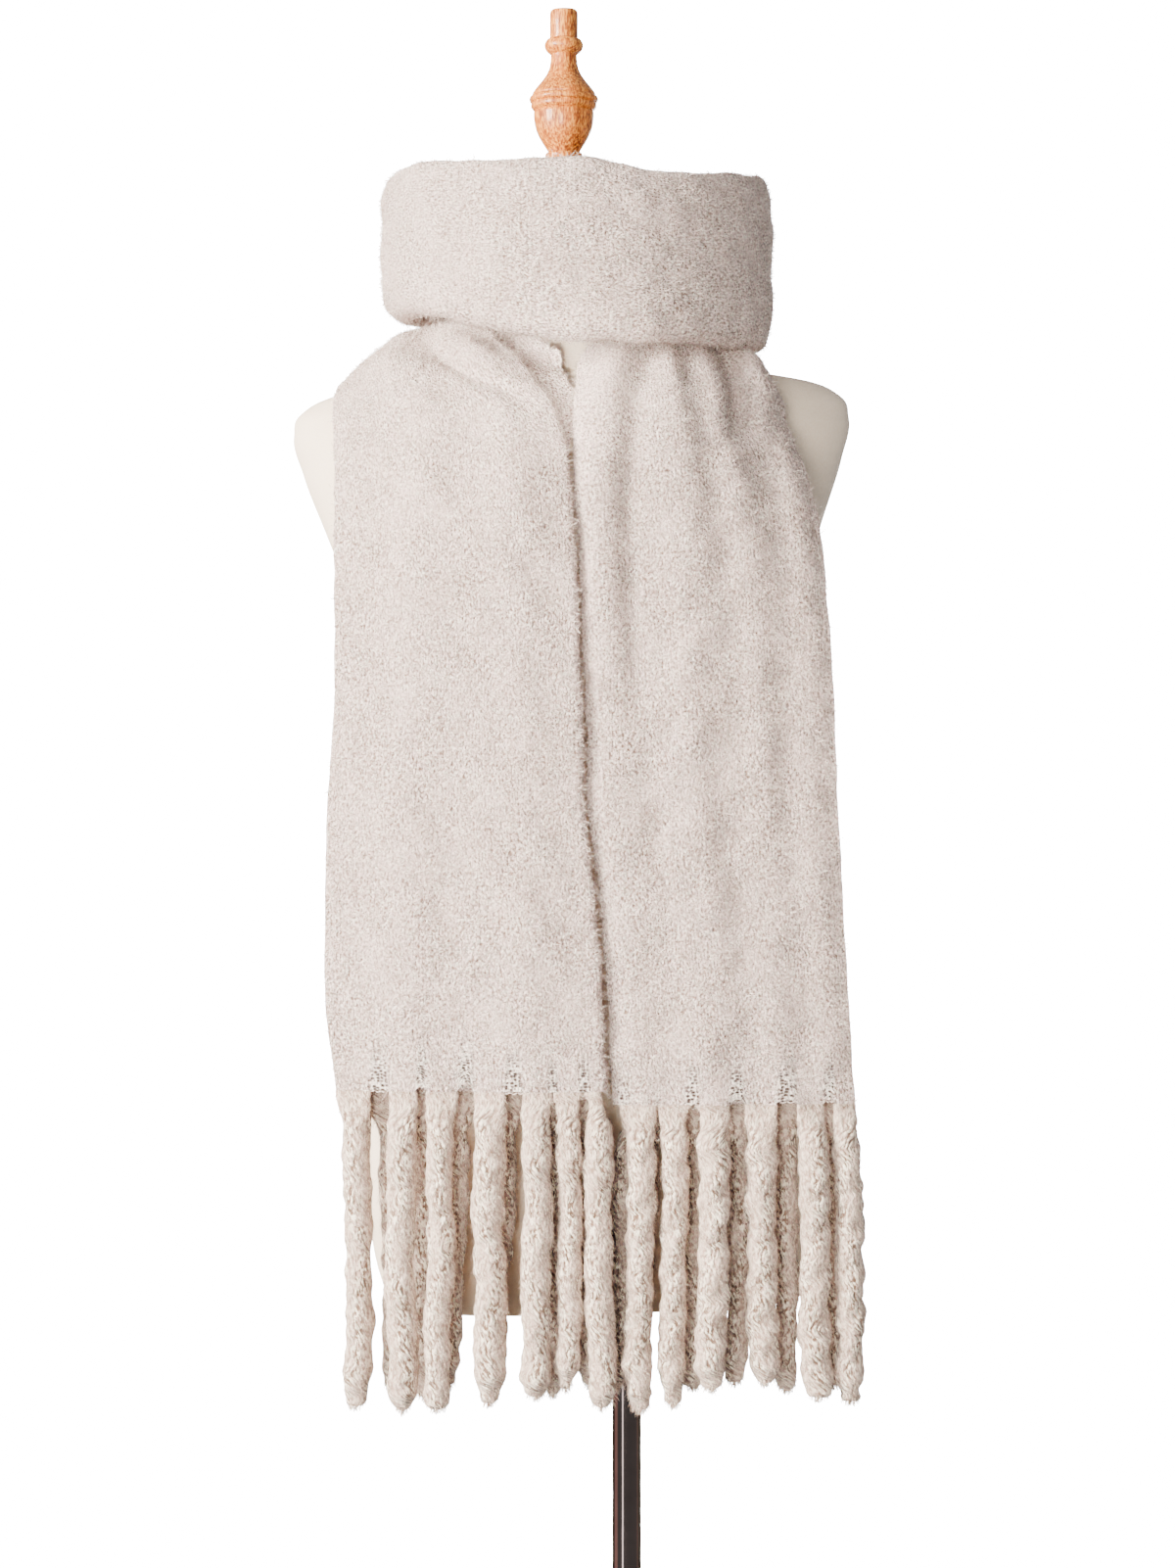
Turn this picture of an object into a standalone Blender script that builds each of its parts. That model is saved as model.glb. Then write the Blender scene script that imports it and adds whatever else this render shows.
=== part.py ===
"""Blanket scarf wound once round the neck of a limbless dress form on a pole.

Metres, +Z up. X runs to the viewer's right and -Y faces the viewer. The origin is the
centre of the base plate's underside, on the pole's axis.
"""

import math

import bmesh
import bpy
import numpy as np

COLLECTION = "blanket_scarf_on_dress_form"
SEAM = 0.0003  # gap between pieces that touch

# Cloth: a thick brushed scarf, folded lengthwise in three
WALL = 0.0036
LAYER_PITCH = 0.0064  # from one folded layer to the next
FOLD_STEPS = 4  # facets round a fold
FOLD_REACH = LAYER_PITCH / 2 + WALL / 2  # how far a fold bulges past the line where it starts
STEP = 0.001  # for slopes of the cloth's surface
SHARP_ANGLE = math.radians(40)
WELD = 1e-6  # points nearer than this are one

# Hanging ends, from the hem up over the shoulder to the nape. Left and right are the
# viewer's, and are the cloth's outlines; bow is how far the front swells out between them,
# and recess is how far the two hidden layers lie in from the free edge.
LEFT_END_ROWS = (  # left, right, bow, recess
    ((-0.1960, -0.118, 0.6760), (-0.0140, -0.136, 0.6760), 0.006, 0.007),
    ((-0.2030, -0.118, 0.7300), (-0.0170, -0.138, 0.7300), 0.006, 0.007),
    ((-0.2030, -0.118, 0.8000), (-0.0210, -0.139, 0.8000), 0.006, 0.007),
    ((-0.2020, -0.118, 0.8600), (-0.0285, -0.140, 0.8600), 0.006, 0.007),
    ((-0.1975, -0.117, 0.9300), (-0.0313, -0.141, 0.9300), 0.007, 0.007),
    ((-0.1972, -0.114, 1.0000), (-0.0332, -0.143, 1.0000), 0.009, 0.007),
    ((-0.1983, -0.103, 1.0500), (-0.0358, -0.144, 1.0500), 0.013, 0.010),
    ((-0.1985, -0.087, 1.0900), (-0.0390, -0.142, 1.0920), 0.017, 0.016),
    ((-0.1995, -0.068, 1.1190), (-0.0460, -0.134, 1.1220), 0.019, 0.025),
    ((-0.2015, -0.045, 1.1395), (-0.0615, -0.119, 1.1500), 0.018, 0.038),
    ((-0.2005, -0.015, 1.1525), (-0.0750, -0.107, 1.1660), 0.017, 0.045),
    ((-0.1850, 0.012, 1.1720), (-0.0865, -0.096, 1.1770), 0.014, 0.036),
    ((-0.1500, 0.038, 1.1850), (-0.1020, -0.072, 1.2030), 0.004, 0.024),
    ((-0.1200, 0.060, 1.1880), (-0.1160, -0.032, 1.2260), 0.003, 0.014),
    ((-0.0980, 0.070, 1.1880), (-0.1180, 0.012, 1.2430), 0.003, 0.008),
    ((-0.0820, 0.076, 1.1880), (-0.1010, 0.051, 1.2480), 0.002, 0.007),
    ((-0.0640, 0.079, 1.1870), (-0.0720, 0.073, 1.2520), 0.000, 0.007),
    ((-0.0435, 0.079, 1.1870), (-0.0435, 0.074, 1.2530), 0.000, 0.007),
)
RIGHT_END_ROWS = (  # left, right, bow, recess
    ((-0.0105, -0.129, 0.6670), (0.1515, -0.118, 0.6670), 0.006, 0.007),
    ((-0.0150, -0.130, 0.7300), (0.1478, -0.118, 0.7300), 0.006, 0.007),
    ((-0.0190, -0.131, 0.8000), (0.1440, -0.118, 0.8000), 0.006, 0.007),
    ((-0.0265, -0.132, 0.8600), (0.1406, -0.118, 0.8600), 0.006, 0.007),
    ((-0.0293, -0.133, 0.9300), (0.1383, -0.117, 0.9300), 0.007, 0.007),
    ((-0.0312, -0.135, 1.0000), (0.1338, -0.114, 1.0000), 0.009, 0.007),
    ((-0.0338, -0.137, 1.0500), (0.1288, -0.104, 1.0500), 0.013, 0.010),
    ((-0.0365, -0.136, 1.0920), (0.1185, -0.092, 1.0900), 0.015, 0.014),
    ((-0.0365, -0.130, 1.1220), (0.1085, -0.078, 1.1190), 0.015, 0.022),
    ((-0.0350, -0.118, 1.1460), (0.1035, -0.063, 1.1430), 0.013, 0.028),
    ((-0.0260, -0.101, 1.1660), (0.0935, -0.048, 1.1634), 0.007, 0.030),
    ((-0.0090, -0.085, 1.1880), (0.0740, -0.036, 1.1717), 0.002, 0.026),
    ((0.0080, -0.064, 1.2130), (0.0605, -0.010, 1.1825), 0.002, 0.018),
    ((0.0230, -0.028, 1.2360), (0.0515, 0.026, 1.1855), 0.003, 0.010),
    ((0.0265, 0.012, 1.2460), (0.0345, 0.052, 1.1865), 0.003, 0.007),
    ((0.0120, 0.050, 1.2510), (0.0120, 0.069, 1.1860), 0.002, 0.007),
    ((-0.0110, 0.072, 1.2530), (-0.0120, 0.078, 1.1860), 0.000, 0.007),
    ((-0.0385, 0.073, 1.2530), (-0.0385, 0.078, 1.1860), 0.000, 0.007),
)
ROWS_BETWEEN = (0, 0, 0, 0, 0, 0, 1, 1, 1, 1, 1, 2, 2, 1, 1, 0, 0)  # added between two table rows

# Pleats are ridges that stand out from the front layer. Each is its place across the cloth
# from the viewer's left, as shares, then its height, then its half width as a share. Places
# and heights are given at the hem, the chest, the collar, the neck and under the band.
PLEAT_Z = (0.670, 1.000, 1.120, 1.160, 1.195)
PLEAT_EDGE_FADE = 0.06  # share of the width over which a ridge fades at the cloth's edges
LEFT_PLEATS = (
    ((0.30, 0.32, 0.46, 0.40, 0.40), (0.0030, 0.0020, 0.0040, 0.0070, 0.0010), 0.12),
    ((0.72, 0.74, 0.80, 0.78, 0.78), (0.0030, 0.0030, 0.0060, 0.0080, 0.0010), 0.12),
)
RIGHT_PLEATS = (
    ((0.14, 0.09, 0.13, 0.17, 0.20), (0.0020, 0.0050, 0.0070, 0.0080, 0.0010), 0.10),
    ((0.40, 0.42, 0.42, 0.43, 0.43), (0.0045, 0.0045, 0.0060, 0.0090, 0.0010), 0.08),
    ((0.70, 0.70, 0.64, 0.62, 0.60), (0.0040, 0.0035, 0.0090, 0.0100, 0.0010), 0.07),
    ((0.88, 0.90, 0.88, 0.87, 0.85), (0.0020, 0.0020, 0.0060, 0.0090, 0.0010), 0.07),
)
FRONT_SHARES = (0.0, 0.10, 0.19, 0.28, 0.36, 0.43, 0.52, 0.62, 0.71, 0.79, 0.87, 0.94, 1.0)
HIDDEN_SHARES = (0.0, 0.25, 0.50, 0.75, 1.0)
# How far the rear layer's edge reaches past the fold, by height: it shows under the left
# end's fold at the collar.
REACH_Z = (0.670, 1.050, 1.090, 1.120, 1.147, 1.170, 1.190, 1.205)
LEFT_REACH = (-0.010, -0.006, 0.000, 0.009, 0.030, 0.034, 0.016, -0.006)
RIGHT_REACH = (-0.010,) * len(REACH_Z)

# The turn round the neck: one ring whose wall is folded over at its top and bottom edges
BAND_CENTRE = (-0.0350, -0.0100)
BAND_RADII = (0.1370, 0.1280)  # outside, across and fore and aft
BAND_EDGES = (  # degrees from the front towards the viewer's right, z of top, z of bottom
    (0, 1.2940, 1.1725),
    (25, 1.2860, 1.1735),
    (50, 1.2920, 1.1750),
    (90, 1.3010, 1.1780),
    (135, 1.3120, 1.1920),
    (180, 1.3180, 1.2000),
    (225, 1.3140, 1.2030),
    (270, 1.3065, 1.2010),
    (310, 1.3030, 1.1935),
    (335, 1.2920, 1.1800),
)
BAND_SEGMENTS = 36
# Depths of the wall's middle in from BAND_RADII: the face, the edge tucked in behind it at
# the top, the layer behind that, and the innermost layer
BAND_DEPTHS = {"outer": 0.0020, "tuck": 0.0092, "middle": 0.0180, "inner": 0.0252}
# Where the section has points, as shares of the band's height
BAND_FACE_SHARES = (0.22, 0.36, 0.50, 0.64, 0.80)
BAND_TUCK_SHARES = (0.77, 0.58)  # down the tucked edge from the top
BAND_MIDDLE_SHARE = 0.45
BAND_INNER_SHARES = (0.12, 0.45)
BAND_INNER_TOP = 0.84
BAND_LEAN = 0.0075  # how far the face leans in at its top and bottom edges
BAND_LEAN_POWER = 4
BAND_CREASES = (  # angle, share of height, half width in degrees, half height share, depth
    (72, 0.50, 26, 0.10, 0.0020),
    (150, 0.40, 40, 0.12, 0.0040),
    (215, 0.62, 36, 0.12, 0.0035),
    (292, 0.66, 24, 0.10, 0.0020),
)

# Twisted fringe: locks that grow from a narrow strip under each hem
STRIP_HEIGHT = 0.004
ROOT_GAP = 0.003  # between the roots of two locks, where the strip is bare
LOCK_RINGS = 9
LOCK_NECK_RINGS = 2  # of them, above the twist
LOCK_TURN = math.radians(30)  # from one ring to the next
LOCK_NECK = 0.024  # below the strip, where the root has narrowed to the twist
LOCK_WIDTHS = (1.6, 1.10, 0.85, 1.0)  # of the lock's own width, ring by ring from the root
LOCK_DEPTHS = (0.2, 0.45, 0.70, 0.80)
LOCK_TIP = 0.6
LEFT_FRONT_LOCKS = (  # x of root, x of tip, z of end, width
    (-0.1800, -0.1795, 0.4665, 0.0185),
    (-0.1500, -0.1500, 0.4650, 0.0200),
    (-0.1240, -0.1262, 0.4665, 0.0180),
    (-0.0910, -0.0925, 0.4710, 0.0215),
    (-0.0610, -0.0605, 0.4750, 0.0200),
    (-0.0395, -0.0400, 0.4805, 0.0165),
    (-0.0200, -0.0190, 0.4680, 0.0190),
)
LEFT_BACK_LOCKS = (  # x of root, x of tip, z of end, width
    (-0.1640, -0.1620, 0.4740, 0.0165),
    (-0.1370, -0.1365, 0.4700, 0.0165),
    (-0.1100, -0.1085, 0.4780, 0.0165),
    (-0.0760, -0.0770, 0.4760, 0.0150),
    (-0.0500, -0.0500, 0.4720, 0.0150),
    (-0.0270, -0.0275, 0.4780, 0.0160),
)
RIGHT_FRONT_LOCKS = (  # x of root, x of tip, z of end, width
    (0.0080, 0.0065, 0.4660, 0.0190),
    (0.0300, 0.0290, 0.4690, 0.0180),
    (0.0555, 0.0550, 0.4800, 0.0210),
    (0.0880, 0.0880, 0.4830, 0.0210),
    (0.1215, 0.1250, 0.4730, 0.0210),
    (0.1440, 0.1480, 0.4700, 0.0190),
)
RIGHT_BACK_LOCKS = (  # x of root, x of tip, z of end, width
    (0.0180, 0.0170, 0.4760, 0.0160),
    (0.0430, 0.0415, 0.4760, 0.0160),
    (0.0720, 0.0725, 0.4790, 0.0160),
    (0.1040, 0.1060, 0.4740, 0.0165),
    (0.1330, 0.1370, 0.4760, 0.0150),
)
SWING_DROP = 0.050  # below the strip, where a row has swung clear of the other one
FRONT_ROW_SWING = 0.004  # how far the row hangs forward of its roots
BACK_ROW_SWING = -0.008

# Dress form, leaning a little to the viewer's left on its pole
FORM_BASE = (-0.018, 0.0, 0.522)
FORM_LEAN = math.radians(1.95)
FORM_SIDES = 26
FORM_ROUNDNESS = 2.3  # exponent of the superellipse sections
FORM_SECTIONS = (  # height above FORM_BASE, half width, depth in front, depth behind
    (0.000, 0.146, 0.090, 0.104),
    (0.012, 0.151, 0.094, 0.109),
    (0.078, 0.160, 0.098, 0.116),
    (0.178, 0.150, 0.093, 0.106),
    (0.258, 0.130, 0.086, 0.090),
    (0.338, 0.121, 0.081, 0.083),
    (0.418, 0.136, 0.094, 0.087),
    (0.488, 0.156, 0.105, 0.092),
    (0.538, 0.174, 0.101, 0.095),
    (0.578, 0.188, 0.092, 0.094),
    (0.606, 0.194, 0.080, 0.088),
    (0.622, 0.188, 0.067, 0.078),
    (0.632, 0.168, 0.060, 0.071),
    (0.6385, 0.136, 0.056, 0.066),
    (0.643, 0.108, 0.055, 0.063),
    (0.652, 0.084, 0.054, 0.060),
    (0.668, 0.068, 0.054, 0.057),
    (0.690, 0.058, 0.054, 0.055),
    (0.715, 0.055, 0.054, 0.054),
    (0.750, 0.054, 0.053, 0.053),
)
CAP_RADIUS = 0.052
CAP_HEIGHT = 0.028
CAP_CHAMFER = 0.004
FINIAL_X = -0.0439
FINIAL_PROFILE = (  # radius, z
    (0.0070, 1.4200),
    (0.0090, 1.4190),
    (0.0090, 1.4005),
    (0.0118, 1.3984),
    (0.0126, 1.3962),
    (0.0110, 1.3935),
    (0.0088, 1.3915),
    (0.0090, 1.3836),
    (0.0102, 1.3789),
    (0.0132, 1.3726),
    (0.0171, 1.3663),
    (0.0210, 1.3608),
    (0.0234, 1.3584),
    (0.0232, 1.3558),
    (0.0203, 1.3520),
    (0.0203, 1.3490),
    (0.0189, 1.3411),
    (0.0155, 1.3333),
    (0.0122, 1.3270),
    (0.0101, 1.3222),
    (0.0123, 1.3210),
    (0.0123, 1.3175),
    (0.0150, 1.3120),
)
FINIAL_SIDES = 16

# Stand
POLE_RADIUS = 0.010
BASE_PROFILE = (  # radius, z
    (0.0200, 0.0160),
    (0.1380, 0.0120),
    (0.1560, 0.0085),
    (0.1600, 0.0050),
    (0.1600, 0.0000),
)
BASE_TOP = BASE_PROFILE[0][1]
SOCKET_RADIUS = 0.0180
SOCKET_TOP = 0.0700
SOCKET_CHAMFER = 0.003
ROUND_SIDES = 24


# Materials -----------------------------------------------------------------------------


def material(name, colour, roughness, metallic=0.0):
    made = bpy.data.materials.new(name)
    made.use_nodes = True
    shader = made.node_tree.nodes["Principled BSDF"]
    shader.inputs["Base Color"].default_value = (*colour, 1.0)
    shader.inputs["Roughness"].default_value = roughness
    shader.inputs["Metallic"].default_value = metallic
    made.diffuse_color = (*colour, 1.0)
    return made


# Shapes --------------------------------------------------------------------------------


def through(knots, values, at):
    """Smooth curve through the values at the knots, read at each number in at."""
    knots, values, at = np.asarray(knots, float), np.asarray(values, float), np.asarray(at, float)
    slopes = np.gradient(values, knots, axis=0)
    low = np.clip(np.searchsorted(knots, at, side="right") - 1, 0, len(knots) - 2)
    span = knots[low + 1] - knots[low]
    t = (np.clip(at, knots[0], knots[-1]) - knots[low]) / span
    if values.ndim > 1:
        t, span = t[..., None], span[..., None]
    return (
        values[low] * (1 + 2 * t) * (1 - t) ** 2
        + slopes[low] * span * t * (1 - t) ** 2
        + values[low + 1] * t**2 * (3 - 2 * t)
        + slopes[low + 1] * span * t**2 * (t - 1)
    )


def unit(vectors):
    return vectors / np.linalg.norm(vectors, axis=-1, keepdims=True)


def add_object(name, mesh, finish, parts):
    made = bpy.data.objects.new(name, mesh)
    mesh.materials.append(finish)
    mesh.shade_smooth()
    mesh.set_sharp_from_angle(angle=SHARP_ANGLE)
    parts.objects.link(made)
    return made


def mesh_from(name, bm):
    mesh = bpy.data.meshes.new(name)
    bm.to_mesh(mesh)
    bm.free()
    return mesh


def cloth_wall(name, points, finish, parts, ring=False):
    """A wall of cloth whose middle surface runs through a grid of points."""
    rows, columns = points.shape[:2]
    bm = bmesh.new()
    grid = bmesh.ops.create_grid(bm, x_segments=columns - 1, y_segments=rows - 1, size=1)
    for vertex in grid["verts"]:
        column = round((vertex.co.x + 1) / 2 * (columns - 1))
        row = round((vertex.co.y + 1) / 2 * (rows - 1))
        vertex.co = points[row, column]
    if ring:
        bmesh.ops.remove_doubles(bm, verts=bm.verts, dist=WELD)
    made = add_object(name, mesh_from(name, bm), finish, parts)
    solidify = made.modifiers.new("wall", "SOLIDIFY")
    solidify.thickness = WALL
    solidify.offset = 0.0
    solidify.use_even_offset = True
    return made


def turned(name, profile, sides, finish, parts):
    """A turned piece from (radius, z) points down its outer side, closed to the axis."""
    outline = [(0.0, profile[0][1]), *profile, (0.0, profile[-1][1])]
    return screwed(name, outline, False, sides, finish, parts)


def screwed(name, outline, closed, sides, finish, parts):
    bm = bmesh.new()
    points = [bm.verts.new((radius, 0.0, z)) for radius, z in outline]
    for first, second in zip(points, points[1:]):
        bm.edges.new((first, second))
    if closed:
        bm.edges.new((points[-1], points[0]))
    made = add_object(name, mesh_from(name, bm), finish, parts)
    screw = made.modifiers.new("turned", "SCREW")
    screw.axis = "Z"
    screw.steps = screw.render_steps = sides
    screw.use_merge_vertices = True
    screw.merge_threshold = 0.00001
    return made


def cylinder(name, radius, bottom, top, finish, parts):
    bm = bmesh.new()
    bmesh.ops.create_cone(
        bm, cap_ends=True, segments=ROUND_SIDES, radius1=radius, radius2=radius, depth=top - bottom
    )
    made = add_object(name, mesh_from(name, bm), finish, parts)
    made.location.z = (bottom + top) / 2
    return made


# Hanging ends --------------------------------------------------------------------------


def end_table(rows):
    """Distance along the cloth and, at each table row, left, right, bow and recess."""
    left = np.array([row[0] for row in rows])
    right = np.array([row[1] for row in rows])
    extra = np.array([row[2:] for row in rows])
    middle = (left + right) / 2
    along = np.concatenate([[0], np.cumsum(np.linalg.norm(np.diff(middle, axis=0), axis=1))])
    return along, np.concatenate([left, right, extra], axis=1)


def row_places(along):
    """Where the mesh has rows: each table row, and those added between two."""
    places = [along[0]]
    for start, stop, between in zip(along, along[1:], ROWS_BETWEEN):
        places += list(np.linspace(start, stop, between + 2)[1:])
    return np.array(places)


def base_surface(table, places, shares):
    """Front face of the folded cloth before its pleats, for shares from the viewer's left."""
    values = through(*table, places)
    left, right, bow = values[:, None, 0:3], values[:, None, 3:6], values[:, None, 6:7]
    inside = np.clip(places, table[0][0] + STEP, table[0][-1] - STEP)
    ahead, behind = through(*table, inside + STEP), through(*table, inside - STEP)
    upward = unit((ahead - behind)[:, None, 0:3] + (ahead - behind)[:, None, 3:6])
    across = unit(right - left)
    outward = unit(np.cross(across, upward))
    shares = shares[..., None]
    swell = 4 * shares * (1 - shares)
    return left + (right - left) * shares + outward * bow * swell


def surface_frame(table, places, shares):
    """Point, outward normal and unit direction across, at each place and share."""
    point = base_surface(table, places, shares)
    across = unit(
        base_surface(table, places, shares + STEP) - base_surface(table, places, shares - STEP)
    )
    inside = np.clip(places, table[0][0] + STEP, table[0][-1] - STEP)
    upward = base_surface(table, inside + STEP, shares) - base_surface(table, inside - STEP, shares)
    return point, unit(np.cross(across, upward)), across


def pleat_height(pleats, height, shares):
    """How far the front layer's ridges stand out, for the z of each row."""
    total = np.zeros_like(shares)
    for centres, heights, half_width in pleats:
        centre = np.interp(height, PLEAT_Z, centres)[:, None]
        ridge = np.interp(height, PLEAT_Z, heights)[:, None]
        total += ridge * np.exp(-(((shares - centre) / half_width) ** 2))
    edge_fade = np.clip(np.minimum(shares, 1 - shares) / PLEAT_EDGE_FADE, 0, 1)
    return total * edge_fade


def fold_round(start, centre_depth, direction, across, normal, steps):
    """Points round a fold, from the layer above to the layer below, without its ends."""
    turns = np.linspace(0, math.pi, steps + 1)[1:-1]
    radius = LAYER_PITCH / 2
    centre = start - normal * centre_depth
    return [centre + radius * (math.cos(a) * normal + math.sin(a) * direction * across) for a in turns]


def folded_end(rows, pleats, reach, fold_at_right):
    """Grid of points through the three layers of a hanging end: front, middle, rear."""
    table = end_table(rows)
    places = row_places(table[0])
    values = through(*table, places)
    width = np.linalg.norm(values[:, 3:6] - values[:, 0:3], axis=1)[:, None]
    height = (values[:, 2] + values[:, 5])[:, None] / 2
    recess = values[:, None, 7][:, :1]
    fold_inset, free_inset = FOLD_REACH / width, (WALL / 2) / width

    def place(from_free, depth, raised=0.0):
        """Points at shares counted from the free edge towards the fold."""
        share = from_free if fold_at_right else 1 - from_free
        point, normal, across = surface_frame(table, places, share)
        return point - normal * depth + normal * raised, normal, across

    onward = 1.0 if fold_at_right else -1.0
    columns = []
    ridge_z = np.minimum(values[:, 5 if fold_at_right else 2], PLEAT_Z[-1])
    for share in FRONT_SHARES:
        from_free = free_inset + share * (1 - free_inset - fold_inset)
        from_left = from_free if fold_at_right else 1 - from_free
        raised = pleat_height(pleats, ridge_z, from_left)[..., None]
        columns.append(place(from_free, 0.0, raised)[0])
    at_fold = place(1 - fold_inset, 0.0)
    columns += fold_round(at_fold[0], LAYER_PITCH / 2, onward, at_fold[2], at_fold[1], FOLD_STEPS)
    rear_start = recess / width
    for share in reversed(HIDDEN_SHARES):
        from_free = rear_start + share * (1 - fold_inset - rear_start)
        columns.append(place(from_free, LAYER_PITCH)[0])
    at_fold = place(rear_start, 0.0)
    columns += fold_round(
        at_fold[0], 1.5 * LAYER_PITCH, -onward, at_fold[2], at_fold[1], FOLD_STEPS
    )
    rear_stop = 1 - fold_inset + np.interp(height, REACH_Z, reach) / width
    for share in HIDDEN_SHARES:
        from_free = rear_start + share * (rear_stop - rear_start)
        columns.append(place(from_free, 2 * LAYER_PITCH)[0])
    return np.stack([column[:, 0] for column in columns], axis=1)


# Neck band -----------------------------------------------------------------------------


def band_section(height):
    """(depth in from the outer face, height above the bottom edge) through the wall."""
    depth = BAND_DEPTHS
    inner_turn = (depth["inner"] - depth["middle"]) / 2
    bottom_turn = (depth["middle"] - depth["outer"]) / 2
    top_turn = (depth["tuck"] - depth["outer"]) / 2
    half = WALL / 2
    section = [(depth["inner"], share * height) for share in BAND_INNER_SHARES]
    top = BAND_INNER_TOP * height
    for angle in np.linspace(0, math.pi, FOLD_STEPS + 1):
        out = (depth["inner"] + depth["middle"]) / 2 + inner_turn * math.cos(angle)
        section.append((out, top + inner_turn * math.sin(angle)))
    section.append((depth["middle"], BAND_MIDDLE_SHARE * height))
    bottom = bottom_turn + half
    for angle in np.linspace(0, math.pi, FOLD_STEPS + 1):
        out = (depth["middle"] + depth["outer"]) / 2 + bottom_turn * math.cos(angle)
        section.append((out, bottom - bottom_turn * math.sin(angle)))
    section += [(depth["outer"], share * height) for share in BAND_FACE_SHARES]
    top = height - top_turn - half
    for angle in np.linspace(0, math.pi, FOLD_STEPS + 1):
        out = (depth["outer"] + depth["tuck"]) / 2 - top_turn * math.cos(angle)
        section.append((out, top + top_turn * math.sin(angle)))
    section += [(depth["tuck"], share * height) for share in BAND_TUCK_SHARES]
    return np.array(section)


def band_crease(angle, share):
    """Depth of the soft creases in the band at an angle in degrees and a share of its height."""
    depth = 0.0
    for centre, level, half_width, half_height, deepest in BAND_CREASES:
        apart = (angle - centre + 180) % 360 - 180
        depth += deepest * np.exp(-((apart / half_width) ** 2) - ((share - level) / half_height) ** 2)
    return depth


def band_grid():
    """Grid of points round the neck: one column for each step round, the first repeated."""
    angles = np.linspace(0, 360, BAND_SEGMENTS + 1)
    known = np.array(BAND_EDGES, float)
    wrapped = np.concatenate([known[-2:] - (360, 0, 0), known, known[:2] + (360, 0, 0)])
    edges = through(wrapped[:, 0], wrapped[:, 1:], angles)
    rows = []
    across, fore_aft = BAND_RADII
    face_depth = BAND_DEPTHS["outer"]
    for angle, (top, bottom) in zip(angles, edges):
        turn = math.radians(angle)
        height = top - bottom
        section = band_section(height)
        outward = unit(np.array([fore_aft * math.sin(turn), -across * math.cos(turn), 0.0]))
        edge = np.array(
            [
                BAND_CENTRE[0] + across * math.sin(turn),
                BAND_CENTRE[1] - fore_aft * math.cos(turn),
                bottom,
            ]
        )
        share = section[:, 1] / height
        inward = section[:, 0] + BAND_LEAN * np.abs(2 * share - 1) ** BAND_LEAN_POWER
        through_wall = (section[:, 0] - face_depth) / (BAND_DEPTHS["inner"] - face_depth)
        inward = inward + band_crease(angle, share) * (1 - through_wall)
        rows.append(edge - outward * inward[:, None] + np.array([0, 0, 1]) * section[:, 1:2])
    rows[-1] = rows[0]
    return np.array(rows)


# Fringe --------------------------------------------------------------------------------


def lock_ring(centre, half_width, half_depth, turn):
    """Four corners of a lock's section, in the order of the strip's underside."""
    corners = []
    for x, y in ((-1, -1), (-1, 1), (1, 1), (1, -1)):
        across, depth = x * half_width, y * half_depth
        corners.append(
            (
                centre[0] + across * math.cos(turn) - depth * math.sin(turn),
                centre[1] + across * math.sin(turn) + depth * math.cos(turn),
                centre[2],
            )
        )
    return corners


def grow_lock(bm, root, lock, swing, turn_way):
    """Draws the strip's underside face down into a twisted lock."""
    start_x, tip_x, end_z, width = lock
    start = root.calc_center_median()
    length = start.z - end_z
    face = root
    for ring in range(1, LOCK_RINGS + 1):
        twisted = ring - LOCK_NECK_RINGS
        if twisted <= 0:
            drop = LOCK_NECK * ring / LOCK_NECK_RINGS
        else:
            drop = LOCK_NECK + (length - LOCK_NECK) * twisted / (LOCK_RINGS - LOCK_NECK_RINGS)
        half_width = width / 2 * LOCK_WIDTHS[min(ring, len(LOCK_WIDTHS) - 1)]
        half_depth = width / 2 * LOCK_DEPTHS[min(ring, len(LOCK_DEPTHS) - 1)]
        if ring == LOCK_RINGS:
            half_width, half_depth = half_width * LOCK_TIP, half_depth * LOCK_TIP
        lean = start_x + (tip_x - start_x) * drop / length
        across = start.x + (lean - start.x) * min(1, drop / LOCK_NECK)
        centre = (across, start.y - swing * min(1, drop / SWING_DROP), start.z - drop)
        corners = lock_ring(centre, half_width, half_depth, turn_way * LOCK_TURN * max(0, twisted))
        face = bmesh.ops.extrude_discrete_faces(bm, faces=[face])["faces"][0]
        for vertex, corner in zip(face.verts, corners):
            vertex.co = corner


def fringe_row(name, hem, locks, swing, turn_way, finish, parts):
    """A narrow strip just under the hem with its twisted locks."""
    hem = hem[np.argsort(hem[:, 0])]
    half = WALL / 2
    middles = [(first[0] + second[0]) / 2 for first, second in zip(locks, locks[1:])]
    stations = [locks[0][0] - locks[0][3] / 2]
    for middle in middles:
        stations += [middle - ROOT_GAP / 2, middle + ROOT_GAP / 2]
    stations.append(locks[-1][0] + locks[-1][3] / 2)
    top = float(hem[:, 2].min()) - SEAM
    bottom = top - STRIP_HEIGHT
    y_at = np.interp(stations, hem[:, 0], hem[:, 1])
    bm = bmesh.new()
    loops = []
    for x, y in zip(stations, y_at):
        loops.append(
            [
                bm.verts.new(corner)
                for corner in (
                    (x, y - half, bottom),
                    (x, y + half, bottom),
                    (x, y + half, top),
                    (x, y - half, top),
                )
            ]
        )
    bm.faces.new(reversed(loops[0]))
    bm.faces.new(loops[-1])
    undersides = []
    for first, second in zip(loops, loops[1:]):
        undersides.append(bm.faces.new((first[0], first[1], second[1], second[0])))
        for i in (1, 2, 3):
            j = (i + 1) % 4
            bm.faces.new((first[i], first[j], second[j], second[i]))
    for root, lock in zip(undersides[::2], locks):
        grow_lock(bm, root, lock, swing, turn_way)
    bmesh.ops.recalc_face_normals(bm, faces=bm.faces)
    return add_object(name, mesh_from(name, bm), finish, parts)


# Dress form and stand ------------------------------------------------------------------


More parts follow.
